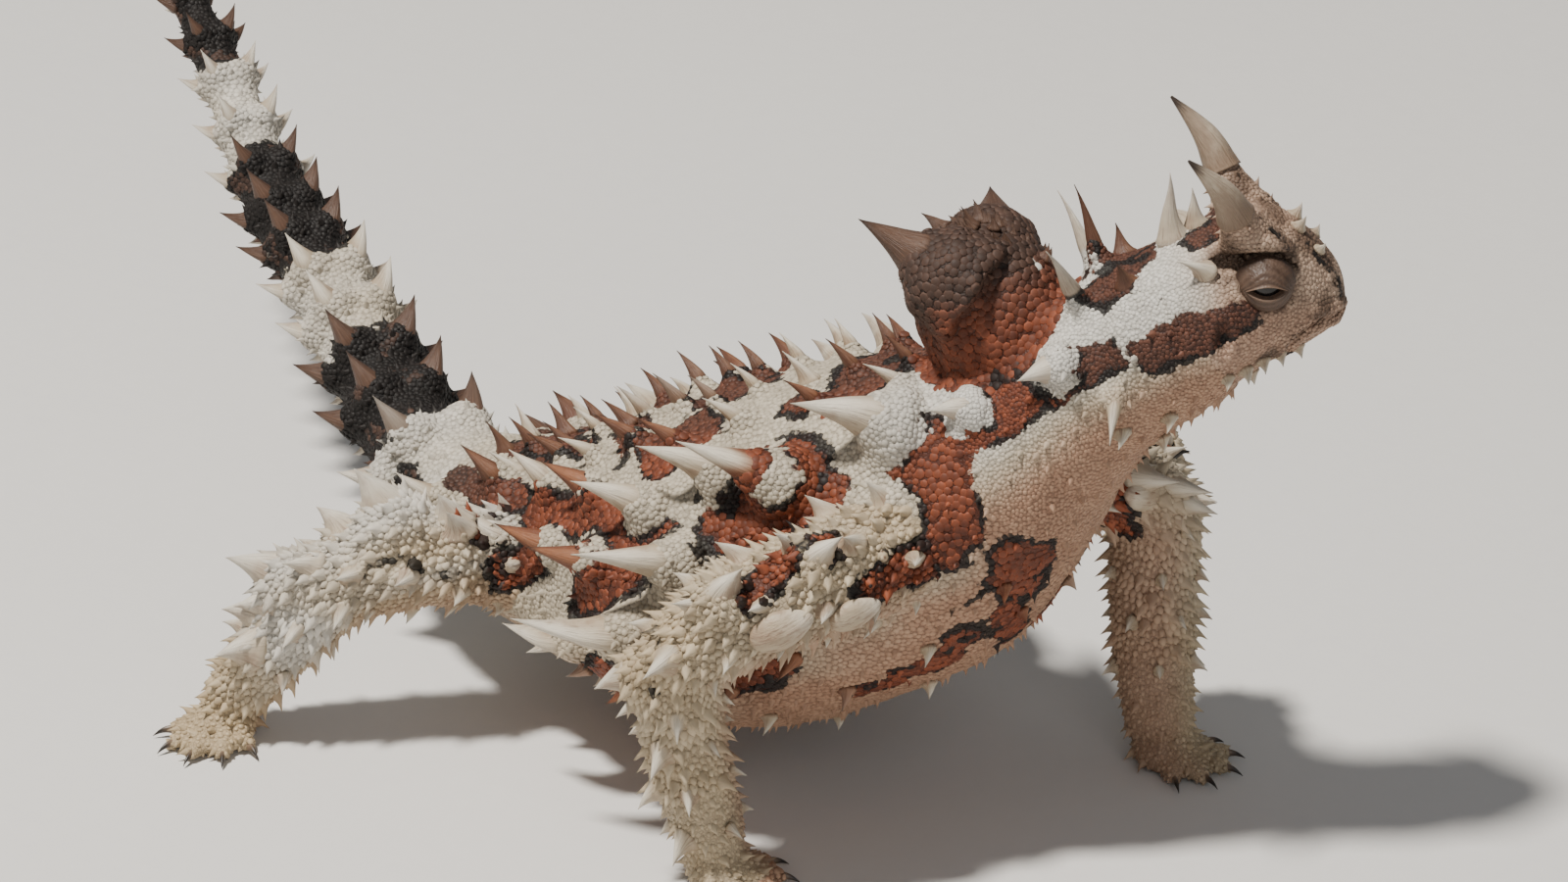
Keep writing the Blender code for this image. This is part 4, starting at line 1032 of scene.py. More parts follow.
def limb_thorn_rows(name):
    """The same thorns as on the solids: root, outward, back, height, radius, lean."""
    line = LINES[name]
    side = limb_side(name)
    exposed = unit(np.array((-0.2, side * 0.8, 0.55)))
    rows = []
    spans = ((0.5, LIMB_BEND), (LIMB_BEND, LIMB_ENDS[name][0]))
    for word, (start, end) in zip(LIMB_WORDS[name.split("_")[0]], spans):
        draw = random.Random(THORN_SEED + len(word) + (side > 0))
        s = start + 0.12
        ring = 0
        while s < end:
            rows += ring_thorns(line, s, ring, exposed, draw)
            near = line.frames(min(s + 0.1, end))[0][0]
            far = line.frames(s - 0.1)[0][0]
            s += LIMB_THORN_STEP / max(np.linalg.norm(near - far) / 0.2, 1.0)
            ring += 1
        rows += tall_thorns(line, word, side)
    return rows


def line_thorn(name, row, skirt, curl=14.0):
    s, angle, height, radius, lean, turn = row
    return Thorn(*line_direction(LINES[name], s, angle, turn), height, radius, lean, curl, skirt)


def skirt_of(s, radius):
    """How much of a thorn of the body its scaly skirt covers."""
    if radius < 1.15:
        return 0.0
    if 15.5 < s < 15.7:
        return 0.36
    return 0.20 if s < TRUNK_START or radius > THICK_THORN else 0.25


def knob_thorns():
    """The knob's two big thorns, its crest and the small ones all over it."""
    back = np.array((-1.0, 0.0, 0.0))
    thorns = []
    for place, direction, height, radius in KNOB_THORNS:
        shaft = unit(np.array(direction))
        root = knob_point(*place)[0] - shaft * 0.6
        thorns.append(Thorn(root, shaft, back, height + 0.6, radius, 0, 8, 0.24, 0.42, 0.0))
    for ahead, left, height in KNOB_CREST:
        for side in ((-1, 1) if left else (1,)):
            root, outward = knob_point(ahead, side * left, 0.8)
            thorns.append(Thorn(root, outward, back, height, 0.45 * height, 20))
    draw = random.Random(SEED)
    for k in range(90):
        place = (draw.uniform(-0.8, 0.9), draw.uniform(-0.9, 0.9), draw.uniform(0.25, 1.0))
        height = draw.uniform(0.6, 1.5)
        thorns.append(Thorn(*knob_point(*place), back, height, 0.5 * height, 30))
    return thorns


def limb_thorns():
    """Thorns of the limbs, drawn wider and longer than their rows, the flattest ones as shields."""
    thorns = []
    for name in LIMB_ROWS:
        for root, outward, back, height, radius, lean in limb_thorn_rows(name):
            if lean > 52 and radius > 1.6:
                root = root + 0.35 * outward
                thorns.append(Thorn(root, outward, back, height, radius, lean, shield=True))
                continue
            skirt = 0.16 if radius > 1.3 else 0.0
            longer, girth = (1.12, 1.45 if height > 3.2 else 1.30)
            if name.startswith("leg") and height > 2.3:
                longer, girth = (1.30, 1.60)
            thorns.append(Thorn(root, outward, back, longer * height, girth * radius, lean, 12.0, skirt))
    return thorns


def all_thorns():
    """Every thorn of the animal, by piece."""
    trunk = [line_thorn("body", row, skirt_of(row[0], row[3])) for row in trunk_thorn_rows()]
    head = [line_thorn("head", row, 0.0) for side in (-1, 1) for row in turned_to(side, HEAD_THORNS)]
    head += [line_thorn("head", row, 0.0, 10.0) for row in SKULL_THORNS]
    return {"trunk": trunk, "head": head, "knob": knob_thorns(), "limbs": limb_thorns()}


THORNS = all_thorns()
SKIRTED = [thorn for group in THORNS.values() for thorn in group if thorn.skirt]
OFF_THE_KNOB = THORNS["trunk"] + THORNS["head"] + THORNS["limbs"]


def settled(points):
    """Points moved from a thorn's foot to its root, how high they were, and which are the knob's."""
    count = len(points)
    moved = points.copy()
    climb = np.zeros(count)
    knobbed = np.zeros(count, bool)
    best = np.full(count, FOOT_REACH)
    shares = np.linspace(0.0, FOOT_TOP, 17)
    for thorn in SKIRTED:
        reach = FOOT_REACH * thorn.radius + 0.6 * thorn.height
        near = np.where(distance(points, thorn.root) < reach)[0]
        if len(near) == 0:
            continue
        centres = thorn.path(shares)[0]
        gap = np.linalg.norm(points[near][:, None, :] - centres[None, :, :], axis=2)
        gap = gap / (thorn.width(shares) + thorn.foot(shares))
        k = gap.argmin(axis=1)
        ratio = gap[np.arange(len(near)), k]
        better = ratio < best[near]
        chosen = near[better]
        best[chosen] = ratio[better]
        if thorn.horn:
            moved[chosen] = points[chosen] - (centres[k[better]] - thorn.root)
        climb[chosen] = shares[k[better]] / thorn.skirt
        knobbed[chosen] = not thorn.horn
    return moved, climb, knobbed


# Materials.

class Nodes:
    """A node tree that nodes are added to with their settings and inputs."""

    def __init__(self, tree):
        self.tree = tree

    def add(self, kind, settings=None, inputs=None):
        node = self.tree.nodes.new(kind)
        for key, value in (settings or {}).items():
            setattr(node, key, value)
        for key, value in (inputs or {}).items():
            if isinstance(value, Number):
                value = value.socket
            if isinstance(value, bpy.types.NodeSocket):
                self.tree.links.new(value, node.inputs[key])
            elif value is not None:
                node.inputs[key].default_value = value
        return node


class Number:
    """A shader's number with plain arithmetic."""

    def __init__(self, nodes, socket):
        self.nodes = nodes
        self.socket = socket

    def _math(self, kind, a, b=None, clamp=False):
        node = self.nodes.add("ShaderNodeMath", {"operation": kind, "use_clamp": clamp}, {0: a, 1: b})
        return Number(self.nodes, node.outputs[0])

    def __add__(self, other):
        return self._math("ADD", self, other)

    __radd__ = __add__

    def __sub__(self, other):
        return self._math("SUBTRACT", self, other)

    def __rsub__(self, other):
        return self._math("SUBTRACT", other, self)

    def __mul__(self, other):
        return self._math("MULTIPLY", self, other)

    __rmul__ = __mul__

    def clamped(self):
        return self._math("ADD", self, 0.0, True)

    def size(self):
        return self._math("ABSOLUTE", self)

    def most(self, other):
        return self._math("MAXIMUM", self, other)

    def step(self, low, high):
        """0 at low and 1 at high, smooth between."""
        given = {"Value": self, "From Min": low, "From Max": high, "To Min": 0.0, "To Max": 1.0}
        node = self.nodes.add("ShaderNodeMapRange", {"interpolation_type": "SMOOTHSTEP"}, given)
        return Number(self.nodes, node.outputs["Result"])


class Paint(Nodes):
    """A material with one Principled shader, built from the piece's own values."""

    def __init__(self, name, gloss=0.5):
        self.material = bpy.data.materials.new(name)
        self.material.use_nodes = True
        super().__init__(self.material.node_tree)
        self.shader = self.tree.nodes["Principled BSDF"]
        self.shader.inputs["Specular IOR Level"].default_value = gloss
        self.place = self.add("ShaderNodeTexCoord").outputs["Object"]

    def value(self, name):
        return Number(self, self.add("ShaderNodeAttribute", {"attribute_name": name}).outputs["Fac"])

    def noise(self, scale, detail=3.0, rough=0.55, place=None):
        given = {"Vector": place or self.place, "Scale": scale, "Detail": detail, "Roughness": rough}
        return Number(self, self.add("ShaderNodeTexNoise", {}, given).outputs["Fac"])

    def strands(self):
        """Long fine strands along a thorn or horn."""
        place = self.add("ShaderNodeAttribute", {"attribute_name": "strand"}).outputs["Vector"]
        return self.noise(1.0, 4.0, 0.6, place)

    def cells(self, scale, feature="F1"):
        node = self.add("ShaderNodeTexVoronoi", {"feature": feature}, {"Vector": self.place, "Scale": scale})
        return Number(self, node.outputs["Distance"])

    def mix(self, share, a, b):
        """Colour a turned to colour b by a share from 0 to 1."""
        node = self.add("ShaderNodeMix", {"data_type": "RGBA", "clamp_factor": True}, {"Factor": share})
        for index, colour in ((6, a), (7, b)):
            if isinstance(colour, bpy.types.NodeSocket):
                self.tree.links.new(colour, node.inputs[index])
            else:
                node.inputs[index].default_value = (*colour, 1.0)
        return node.outputs[2]

    def scaled(self, colour, factor):
        node = self.add("ShaderNodeVectorMath", {"operation": "SCALE"}, {0: colour, "Scale": factor})
        return node.outputs[0]

    def finish(self, colour, roughness, bump=None, strength=0.0, depth=0.0):
        self.tree.links.new(colour, self.shader.inputs["Base Color"])
        self.tree.links.new(roughness.socket, self.shader.inputs["Roughness"])
        if bump is not None:
            node = self.add("ShaderNodeBump", {}, {"Strength": strength, "Distance": depth, "Height": bump})
            self.tree.links.new(node.outputs["Normal"], self.shader.inputs["Normal"])
        return self.material


CREAM_LIGHT = (0.60, 0.53, 0.415)
CREAM_DARK = (0.31, 0.265, 0.20)
GOLD_LIGHT = (0.64, 0.49, 0.28)
GOLD_DARK = (0.38, 0.265, 0.135)
WHITE = (0.70, 0.68, 0.63)
WHITE_DARK = (0.45, 0.43, 0.385)
# Tan of the head's own colour, and of painted bounce light and shade under the body and on the limbs'
# sheltered sides.
TAN_LIGHT = (0.46, 0.265, 0.165)
TAN_DARK = (0.28, 0.135, 0.08)
RUFOUS_DEEP = (0.075, 0.020, 0.010)
RUFOUS_LIGHT = (0.205, 0.055, 0.024)
BROWN_DEEP = (0.016, 0.011, 0.009)
BROWN_LIGHT = (0.065, 0.038, 0.027)
SMUDGE_DEEP = (0.045, 0.028, 0.020)
SMUDGE_LIGHT = (0.15, 0.092, 0.060)
BLACK = (0.006, 0.005, 0.0045)
LIP_BROWN = (0.20, 0.12, 0.08)
HORN_CREAM = (0.42, 0.335, 0.23)
HORN_TIP = (0.70, 0.64, 0.53)
HORN_TAN = (0.27, 0.17, 0.105)
HORN_RUFOUS = (0.15, 0.048, 0.023)
HORN_AMBER = (0.28, 0.115, 0.055)
HORN_DARK = (0.035, 0.022, 0.017)
HORN_BROWN = (0.12, 0.075, 0.052)
HORN_STREAK = (0.15, 0.085, 0.055)
BROW_HORN_DEEP = (0.30, 0.215, 0.14)
BROW_HORN_LIGHT = (0.66, 0.58, 0.46)
BROW_HORN_SPOT = (0.20, 0.125, 0.08)
BROW_HORN_FOOT = (0.17, 0.105, 0.066)
CLAW_ROOT = (0.22, 0.15, 0.10)
CLAW_TIP = (0.02, 0.014, 0.01)
LID_DEEP = (0.030, 0.018, 0.013)
LID_LIGHT = (0.105, 0.062, 0.042)
# Painted light on the crests of the lids' folds.
LID_FOLD_LIGHT = (0.16, 0.105, 0.075)
LID_SLIT_EDGE = (0.20, 0.13, 0.09)
# Painted shade in the crease round the lids' outer rim.
LID_RIM_SHADE = (0.035, 0.022, 0.018)
PUPIL = (0.003, 0.002, 0.002)
IRIS_DEEP = (0.022, 0.011, 0.006)
IRIS_LIGHT = (0.06, 0.032, 0.015)
FLOOR_DEEP = (0.66, 0.645, 0.62)
FLOOR_LIGHT = (0.74, 0.725, 0.70)
SKIN_GLOSS = 0.32


def ink_edge(paint, patch):
    """Where the uneven near-black edge round a patch lies, below 0 inside it."""
    width = (paint.noise(190.0) * 0.8 + paint.noise(60.0) * 0.8 - 0.68) * 2.4
    return (patch + 0.15).size() - width * paint.value("rim_share")


def skin_colour(paint):
    """The pattern of cream, rufous and near-black that skin, scales and thorns share."""
    fine = paint.noise(900.0)
    tone = paint.value("tone")
    blend = (paint.noise(160.0) * 0.9 + fine * 0.6 + tone * 0.45 - 0.45).clamped()
    colour = paint.mix(blend, CREAM_DARK, CREAM_LIGHT)
    # The tan tint paints bounce light and shade under the body and on the limbs' sheltered sides, and gives
    # the head its own tan.
    tints = (("gold", 0.70, GOLD_DARK, GOLD_LIGHT), ("tan_and_painted_bounce", 0.85, TAN_DARK, TAN_LIGHT),
             ("pale", 0.85, WHITE_DARK, WHITE))
    for name, share, deep, light in tints:
        colour = paint.mix(paint.value(name) * share, colour, paint.mix(blend, deep, light))
    speck = paint.noise(2600.0, 2.0).step(0.66, 0.74)
    colour = paint.mix(speck * 0.30, colour, SMUDGE_LIGHT)
    smudge = (paint.value("smudge") + (paint.noise(520.0) - 0.5) * 0.7).step(0.10, 0.62)
    colour = paint.mix(smudge * 0.9, colour, paint.mix(fine, SMUDGE_DEEP, SMUDGE_LIGHT))
    red = paint.mix((fine * 1.1 + tone * 0.7 - 0.45).clamped(), RUFOUS_DEEP, RUFOUS_LIGHT)
    brown = paint.mix(fine * 0.6 + tone * 0.4, BROWN_DEEP, BROWN_LIGHT)
    red = paint.mix(paint.value("brown") * 0.95, red, brown)
    patch = paint.value("patch") + (paint.noise(1400.0) - 0.5) * 0.5
    inside = patch.step(0.06, -0.06)
    colour = paint.mix(inside, colour, red)
    # Near-black marks, and the painted shade of the mouth line.
    ink_and_mouth_shade = paint.value("ink_and_mouth_shade") + (paint.noise(1700.0) - 0.5) * 0.35
    dark = ink_edge(paint, patch).step(0.10, -0.06).most(ink_and_mouth_shade.step(0.08, -0.08))
    return paint.mix(dark * 0.95, colour, BLACK), inside


def lip_colour(paint):
    """The skin's colour, brown along the lips, and where it is rufous."""
    colour, inside = skin_colour(paint)
    return paint.mix(paint.value("lip") * 0.6, colour, LIP_BROWN), inside


def skin_material():
    paint = Paint("skin", SKIN_GLOSS)
    colour = lip_colour(paint)[0]
    cells = paint.cells(2600.0, "DISTANCE_TO_EDGE").step(0.0, 0.20)
    colour = paint.scaled(colour, 0.72 + cells * 0.22)
    bump = cells * 0.6 + paint.noise(3500.0) * 0.5
    return paint.finish(colour, 0.46 + paint.noise(700.0) * 0.25, bump, 0.65, 0.0001)


def scale_material():
    """Each scale a little paler at its rim where the skin is rufous, its own tan rim; a little darker at its
    rim where not, painted shade in the crevices between scales.
    """
    paint = Paint("scales", SKIN_GLOSS)
    colour, inside = lip_colour(paint)
    # Cream scales darker at the rim: painted shade in the crevices between scales; rufous scales paler at the
    # rim in their own colour.
    rim = paint.value("rise").step(0.95, 0.35)
    colour = paint.scaled(colour, 1.0 + rim * (inside * 0.75 - 0.16))
    rough = 0.46 + paint.noise(900.0) * 0.26 + paint.value("pale") * 0.08
    return paint.finish(colour, rough, paint.noise(5200.0, 4.0), 0.35, 0.00008)


def thorn_material():
    """Horn with fine strands, brown where it stands on a patch, its upper edge painted paler and its lower
    side darker as painted light and shade.
    """
    paint = Paint("thorns", SKIN_GLOSS)
    skin = skin_colour(paint)[0]
    along = paint.value("along")
    # The upper edge of each thorn is painted paler and amber and its lower side darker: painted light and
    # shade from above.
    edge = paint.value("edge")
    strand = paint.strands()
    grain = paint.noise(420.0)
    fade = (paint.value("broad") - 2.4).step(0.0, 0.5) * (along + edge * 0.25).step(0.16, 0.50)
    red = paint.value("patch").step(0.5, -0.4) * (1.0 - fade)
    cream = paint.mix((along + strand * 0.5 + edge * 0.35).step(0.35, 1.15), HORN_CREAM, HORN_TIP)
    cream = paint.mix((grain + strand * 0.6 - edge * 0.35).step(0.66, 0.98) * 0.65, cream, HORN_TAN)
    cream = paint.mix(paint.value("pale") * strand * 0.4, cream, WHITE)
    tawny = paint.mix((strand + edge * 0.4).step(0.45, 0.95), HORN_RUFOUS, HORN_AMBER)
    tawny = paint.mix(paint.value("brown") * 0.85, tawny, paint.mix(strand, BROWN_DEEP, HORN_BROWN))
    tawny = paint.mix((along + strand * 0.3).step(0.80, 1.15) * 0.8, tawny, HORN_DARK)
    horn = paint.mix(red, cream, tawny)
    horn = paint.mix(strand.step(0.54, 0.66) * (0.95 - along) * 0.60, horn, HORN_STREAK)
    colour = paint.mix((along + (strand - 0.5) * 0.10).step(-0.06, 0.03), skin, horn)
    return paint.finish(colour, 0.32 + strand * 0.25, strand + grain * 0.4, 0.7, 0.00022)


def claw_material():
    paint = Paint("claws")
    share = (paint.value("along") + (paint.noise(900.0) - 0.5) * 0.4).step(0.0, 0.7)
    colour = paint.mix(share, CLAW_ROOT, CLAW_TIP)
    return paint.finish(colour, 0.3 + paint.noise(1200.0) * 0.15, paint.noise(2600.0), 0.3, 0.00006)


def brow_horn_material():
    paint = Paint("brow_horn", SKIN_GLOSS)
    along = paint.value("along")
    strand = paint.strands()
    grain = paint.noise(300.0, 4.0)
    colour = paint.mix(strand * 0.6 + grain * 0.5, BROW_HORN_DEEP, BROW_HORN_LIGHT)
    colour = paint.mix((grain + strand * 0.7).step(0.74, 0.98) * 0.7, colour, BROW_HORN_SPOT)
    colour = paint.mix((along + (strand - 0.5) * 0.7).step(0.58, 0.0) * 0.85, colour, BROW_HORN_FOOT)
    colour = paint.mix((along + (strand - 0.5) * 0.25).step(0.68, 0.90) * 0.95, colour, HORN_DARK)
    return paint.finish(colour, 0.32 + strand * 0.2, strand, 0.8, 0.00025)


def lid_material():
    paint = Paint("eyelid", SKIN_GLOSS)
    rim = paint.value("rim")
    grain = paint.noise(1500.0, 4.0)
    colour = paint.mix(grain, LID_DEEP, LID_LIGHT)
    # The lids' fold crests painted lighter: painted light on the wrinkles.
    colour = paint.mix(paint.value("fold") * 0.25, colour, LID_FOLD_LIGHT)
    colour = paint.mix(rim.step(0.20, 0.0) * 0.55, colour, LID_SLIT_EDGE)
    # The lids' outer rim painted dark: painted shade in the crease round the lids.
    colour = paint.mix(rim.step(0.88, 1.0) * 0.5, colour, LID_RIM_SHADE)
    return paint.finish(colour, 0.40 + grain * 0.2, paint.cells(3800.0), 0.5, 0.00009)


def eye_material():
    paint = Paint("eye")
    gaze = paint.value("gaze") + (paint.noise(900.0) - 0.5) * 0.12
    iris = paint.mix(paint.noise(2400.0), IRIS_DEEP, IRIS_LIGHT)
    colour = paint.mix(gaze.step(0.50, 0.58), PUPIL, iris)
    paint.shader.inputs["Coat Weight"].default_value = 0.10
    paint.shader.inputs["Coat Roughness"].default_value = 0.03
    return paint.finish(colour, 0.18 + paint.noise(600.0) * 0.05)


def floor_material():
    paint = Paint("floor")
    grain = paint.noise(420.0)
    colour = paint.mix(paint.noise(9.0, 5.0) * 0.6 + grain * 0.3, FLOOR_DEEP, FLOOR_LIGHT)
    return paint.finish(colour, 0.7 + grain * 0.15, paint.noise(900.0, 4.0), 0.12, 0.0002)


# The skin.

SKIN_INSET = 0.18
SKIN_GRID = 0.49
SKIN_LIFT = 0.02
# How far the skin reaches up the brow horns, and the part of their line that is horn.
HORN_SKIN_END = 2.4
HORN_SPAN = (2.2, 4.0)
HORN_SIDES = 36
# Cosine and sine of the slope at which the brow falls back above the lid.
BROW_SLOPE = (0.905, 0.4226)
# Rounds and weight of the smoothing of the whole skin, and of where the limbs join the trunk.
SMOOTHING = (3, 0.5)
JOIN_SMOOTHING = (40, 0.6)
# Height of the mound round a thorn with a skirt and without, as shares of its radius.
MOUNDS = (0.22, 0.34)
# Depth and width of each hollow, then height, place and width of the raised rim round it.
MOUTH_HOLLOW = (0.62, 0.24, 0.34, 0.85, 0.50)
NOSTRIL_HOLLOW = (0.75, 0.34, 0.16, 0.66, 0.22)
EAR_HOLLOW = (0.8, 1.0, 0.22, 1.7, 0.45)
# Rings of a toe: share of its length, height of the middle, size.
TOE_RINGS = [(-0.1, 1.7, 1.2), (0.2, 1.45, 1.2), (0.45, 1.12, 1.1), (0.62, 1.0, 1.12), (0.8, 0.85, 0.95),
             (1.0, 0.72, 0.62)]


def foot_frame(name):
    """The ground point under a wrist or ankle and the way its hand or foot points."""
    x, y = LIMB_ROWS[name][-1][:2]
    return np.array((x, y, 0.0)), math.radians(LIMB_ENDS[name][1])


def toe_rows(name):
    """Start, direction and length of each toe of a foot."""
    ground, turn = foot_frame(name)
    ways = [heading(turn + math.radians(spread * limb_side(name))) for spread in TOE_SPREAD]
    return [(ground + way * 1.6, way, length) for way, length in zip(ways, TOE_LENGTH)]


def add_toe(pile, start, way, length):
    rings = []
    for share, height, size in TOE_RINGS:
        centre = start + way * (share * length) + UP * height
        radius = TOE_RADIUS * size
        rings.append(ring_of(centre, np.cross(UP, way), UP, turns(14), radius, radius))
    pile.add(rings)


def mouth_path():
    """Points along the mouth, from one corner round the snout to the other."""
    head = LINES["head"]
    rows = smooth_rows(np.array(MOUTH), np.linspace(0.0, len(MOUTH) - 1, 60))
    sizes = smooth_rows(head.rows, rows[:, 0])
    angle = np.degrees(np.arccos(np.clip((rows[:, 1] - sizes[:, 1]) / sizes[:, 4], -1.0, 1.0)))
    s = np.concatenate((rows[:, 0], rows[::-1, 0]))
    return head.points(s, np.concatenate((angle, -angle[::-1])))


MOUTH_PATH = mouth_path()


def mouth_distance(points):
    gap = np.full(len(points), FAR)
    near = np.where(distance(points, head_point(4.5, 0.0, -3.0)) < 12.0)[0]
    if len(near):
        gap[near] = np.linalg.norm(points[near][:, None, :] - MOUTH_PATH[None, :, :], axis=2).min(axis=1)
    return gap


def skin_solids():
    """Closed overlapping solids of the whole animal and of its thorns' skirts."""
    pile = Pile()
    add_loft(pile, LINES["body"], LINES["body"].last, 44, SKIN_INSET)
    add_loft(pile, LINES["head"], LINES["head"].last, 44, SKIN_INSET)
    for name in LIMB_ROWS:
        add_loft(pile, LINES[name], LINES[name].last, 28, SKIN_INSET)
        ground, turn = foot_frame(name)
        out = heading(turn)
        add_ball(pile, ground + out * 0.8 + UP * 1.35, PAD, (out, np.cross(UP, out), UP))
        for start, way, length in toe_rows(name):
            add_toe(pile, start, way, length)
    add_ball(pile, KNOB_PLACE, [size - SKIN_INSET for size in KNOB_HALF], knob_axes(), 40, 24)
    for side in (-1, 1):
        add_loft(pile, horn_line(side), HORN_SKIN_END, 24, 0.12)
    for thorn in SKIRTED:
        thorn.add_skirt(pile)
    return pile


def evaluated(thing):
    """The object's mesh with its modifiers applied."""
    bpy.context.view_layer.update()
    graph = bpy.context.evaluated_depsgraph_get()
    return bpy.data.meshes.new_from_object(thing.evaluated_get(graph))


def remeshed(mesh, size):
    """One closed even mesh round all the solids."""
    thing = linked("skin_solids", mesh)
    grid = thing.modifiers.new("grid", "REMESH")
    grid.mode = "VOXEL"
    grid.voxel_size = size * MM
    made = evaluated(thing)
    bpy.data.objects.remove(thing)
    return made


def numbers_of(items, field, width, kind=np.float64):
    """Numbers that Blender keeps for each vertex or edge, one row each."""
    flat = np.zeros(len(items) * width, kind)
    items.foreach_get(field, flat)
    return flat.reshape(-1, width)


def mesh_points(mesh):
    return numbers_of(mesh.vertices, "co", 3)


def relaxed(points, edges, rounds, weight):
    """The points drawn towards the middle of their neighbours."""
    count = len(points)
    a, b = edges[:, 0], edges[:, 1]
    degree = np.bincount(a, minlength=count) + np.bincount(b, minlength=count)
    points = points.copy()
    for _ in range(rounds):
        total = np.stack([np.bincount(a, points[b, k], count) + np.bincount(b, points[a, k], count)
                          for k in range(3)], axis=1)
        points += weight[:, None] * (total / np.maximum(degree, 1)[:, None] - points)
    return points


def limb_root_weight(points):
    """1 where a limb joins the trunk, 0 away from there."""
    weight = np.zeros(len(points))
    for name in LIMB_ROWS:
        gap = distance(points, LINES[name].frames(0.72)[0])
        weight = np.maximum(weight, 1.0 - smoothstep(4.5, 9.5, gap))
    return weight


def swollen(points):
    """The skin raised round each thorn in a low mound."""
    moved = points.copy()
    for thorn in OFF_THE_KNOB:
        if thorn.radius < 0.9:
            continue
        gap = distance(points, thorn.root)
        near = gap < 2.8 * thorn.radius
        height = MOUNDS[0 if thorn.skirt else 1] * thorn.radius
        height = height * np.exp(-(gap[near] / thorn.radius) ** 2)
        moved[near] += height[:, None] * thorn.outward
    return moved


def hollow(gap, depth, width, rim, place, spread):
    """The height of a hollow with a raised rim at distances from its middle."""
    return rim * np.exp(-((gap - place) / spread) ** 2) - depth * np.exp(-(gap / width) ** 2)


def folded(points, part, s):
    """The height of the skin's folds and creases, deepest where a limb joins the trunk."""
    root = limb_root_weight(points)
    fold = ripple(points * np.array((1.0, 0.55, 0.55)), 3.2, SEED + 40)
    crease = -np.abs(ripple(points * np.array((1.25, 0.4, 0.4)), 2.4, SEED + 41))
    height = 0.10 * fold + (0.10 + 0.40 * root) * (crease + 0.35)
    neck = (part == 0) & (s > 16.8)
    height = np.where(neck, height + 0.16 * np.sin(s * 9.5 + 1.2 * fold), height)
    return np.where(part == 1, 0.25 * height, height)


def set_round_eye(moved, normals, side):
    """The socket sunk under the lids, the brow shaped above them and a low ring below."""
    gaze = HEAD_LEFT * side
    centre = eye_centre(side)
    socket = LID_RADIUS - 0.22
    away = moved - centre
    reach = np.linalg.norm(away, axis=1)
    level = away @ gaze
    flat = away - np.outer(level, gaze)
    deep = np.sqrt(np.maximum(socket ** 2 - (flat ** 2).sum(axis=1), 0.0))
    inside = (reach < socket) & (level > -0.6)
    moved[inside] = (centre + flat - np.outer(deep, gaze))[inside]
    above = moved @ HEAD_UP - centre @ HEAD_UP
    outside = reach > LID_RADIUS - 0.3
    brow = (BROW_SLOPE[0] * above - LID_RADIUS - 0.05) / BROW_SLOPE[1]
    brow = np.minimum(brow, 0.87 + 0.28 * (above - 3.3))
    weight = (1 - smoothstep(4.4, 6.2, reach)) * smoothstep(0.6, 1.4, above) * outside * (level > -0.6)
    moved -= gaze * (np.maximum(level - brow, 0.0) * weight)[:, None]
    beside = np.abs(away @ HEAD_AHEAD)
    weight = smoothstep(1.2, 2.0, above) * (1 - smoothstep(2.2, 3.4, beside)) * outside
    weight = weight * (1 - smoothstep(4.0, 4.8, reach)) * (level > -2.5)
    moved += gaze * (np.maximum(brow - 0.12 - level, 0.0) * weight)[:, None]
    ring = np.exp(-((reach - LID_RADIUS - 0.35) / 0.30) ** 2) * 0.16
    moved += normals * np.where((level > 0.3) & (above < 1.0), ring, 0.0)[:, None]


def carved(points, normals, part, s):
    """Folds of the skin, and the mouth, lips, nostrils, ears and eye sockets of the head."""
    height = folded(points, part, s) + hollow(mouth_distance(points), *MOUTH_HOLLOW)
    moved = points + normals * height[:, None]
    for side in (-1, 1):
        depth = hollow(distance(points, head_spot(NOSTRIL, side)), *NOSTRIL_HOLLOW)
        moved += normals * depth[:, None]
        gap = points - head_spot(EAR, side)
        gap = np.sqrt((gap @ HEAD_AHEAD / 0.62) ** 2 + (gap @ HEAD_LEFT) ** 2 + (gap @ HEAD_UP / 1.25) ** 2)
        moved += normals * hollow(gap, *EAR_HOLLOW)[:, None]
        set_round_eye(moved, normals, side)
    return moved


def lifted(points):
    """The points, none of them below the clearance of the skin over the floor."""
    points[:, 2] = np.maximum(points[:, 2], SKIN_LIFT)
    return points


def set_points(mesh, points):
    mesh.vertices.foreach_set("co", placed(points).astype(np.float32).ravel())
    mesh.update()


def make_skin(material):
    mesh = remeshed(skin_solids().mesh("solids"), SKIN_GRID)
    mesh.name = "skin"
    points = own(mesh_points(mesh))
    edges = numbers_of(mesh.edges, "vertices", 2, np.int32)
    points = relaxed(points, edges, SMOOTHING[0], np.full(len(points), SMOOTHING[1]))
    points = relaxed(points, edges, JOIN_SMOOTHING[0], JOIN_SMOOTHING[1] * limb_root_weight(points))
    points = swollen(lifted(points))
    set_points(mesh, points)
    normals = numbers_of(mesh.vertex_normals, "vector", 3, np.float32).astype(float)
    part, s = find_places(points)[:2]
    set_points(mesh, lifted(carved(points, normals, part, s)))
    return made_piece("skin", mesh, material)


# Coat pieces made of one small form repeated.

# Triangles of one piece at most, and the clearances of the scales from mouth and floor.
PIECE_LIMIT = 190000
MOUTH_CLEARANCE = 0.30
FLOOR_CLEARANCE = 0.35


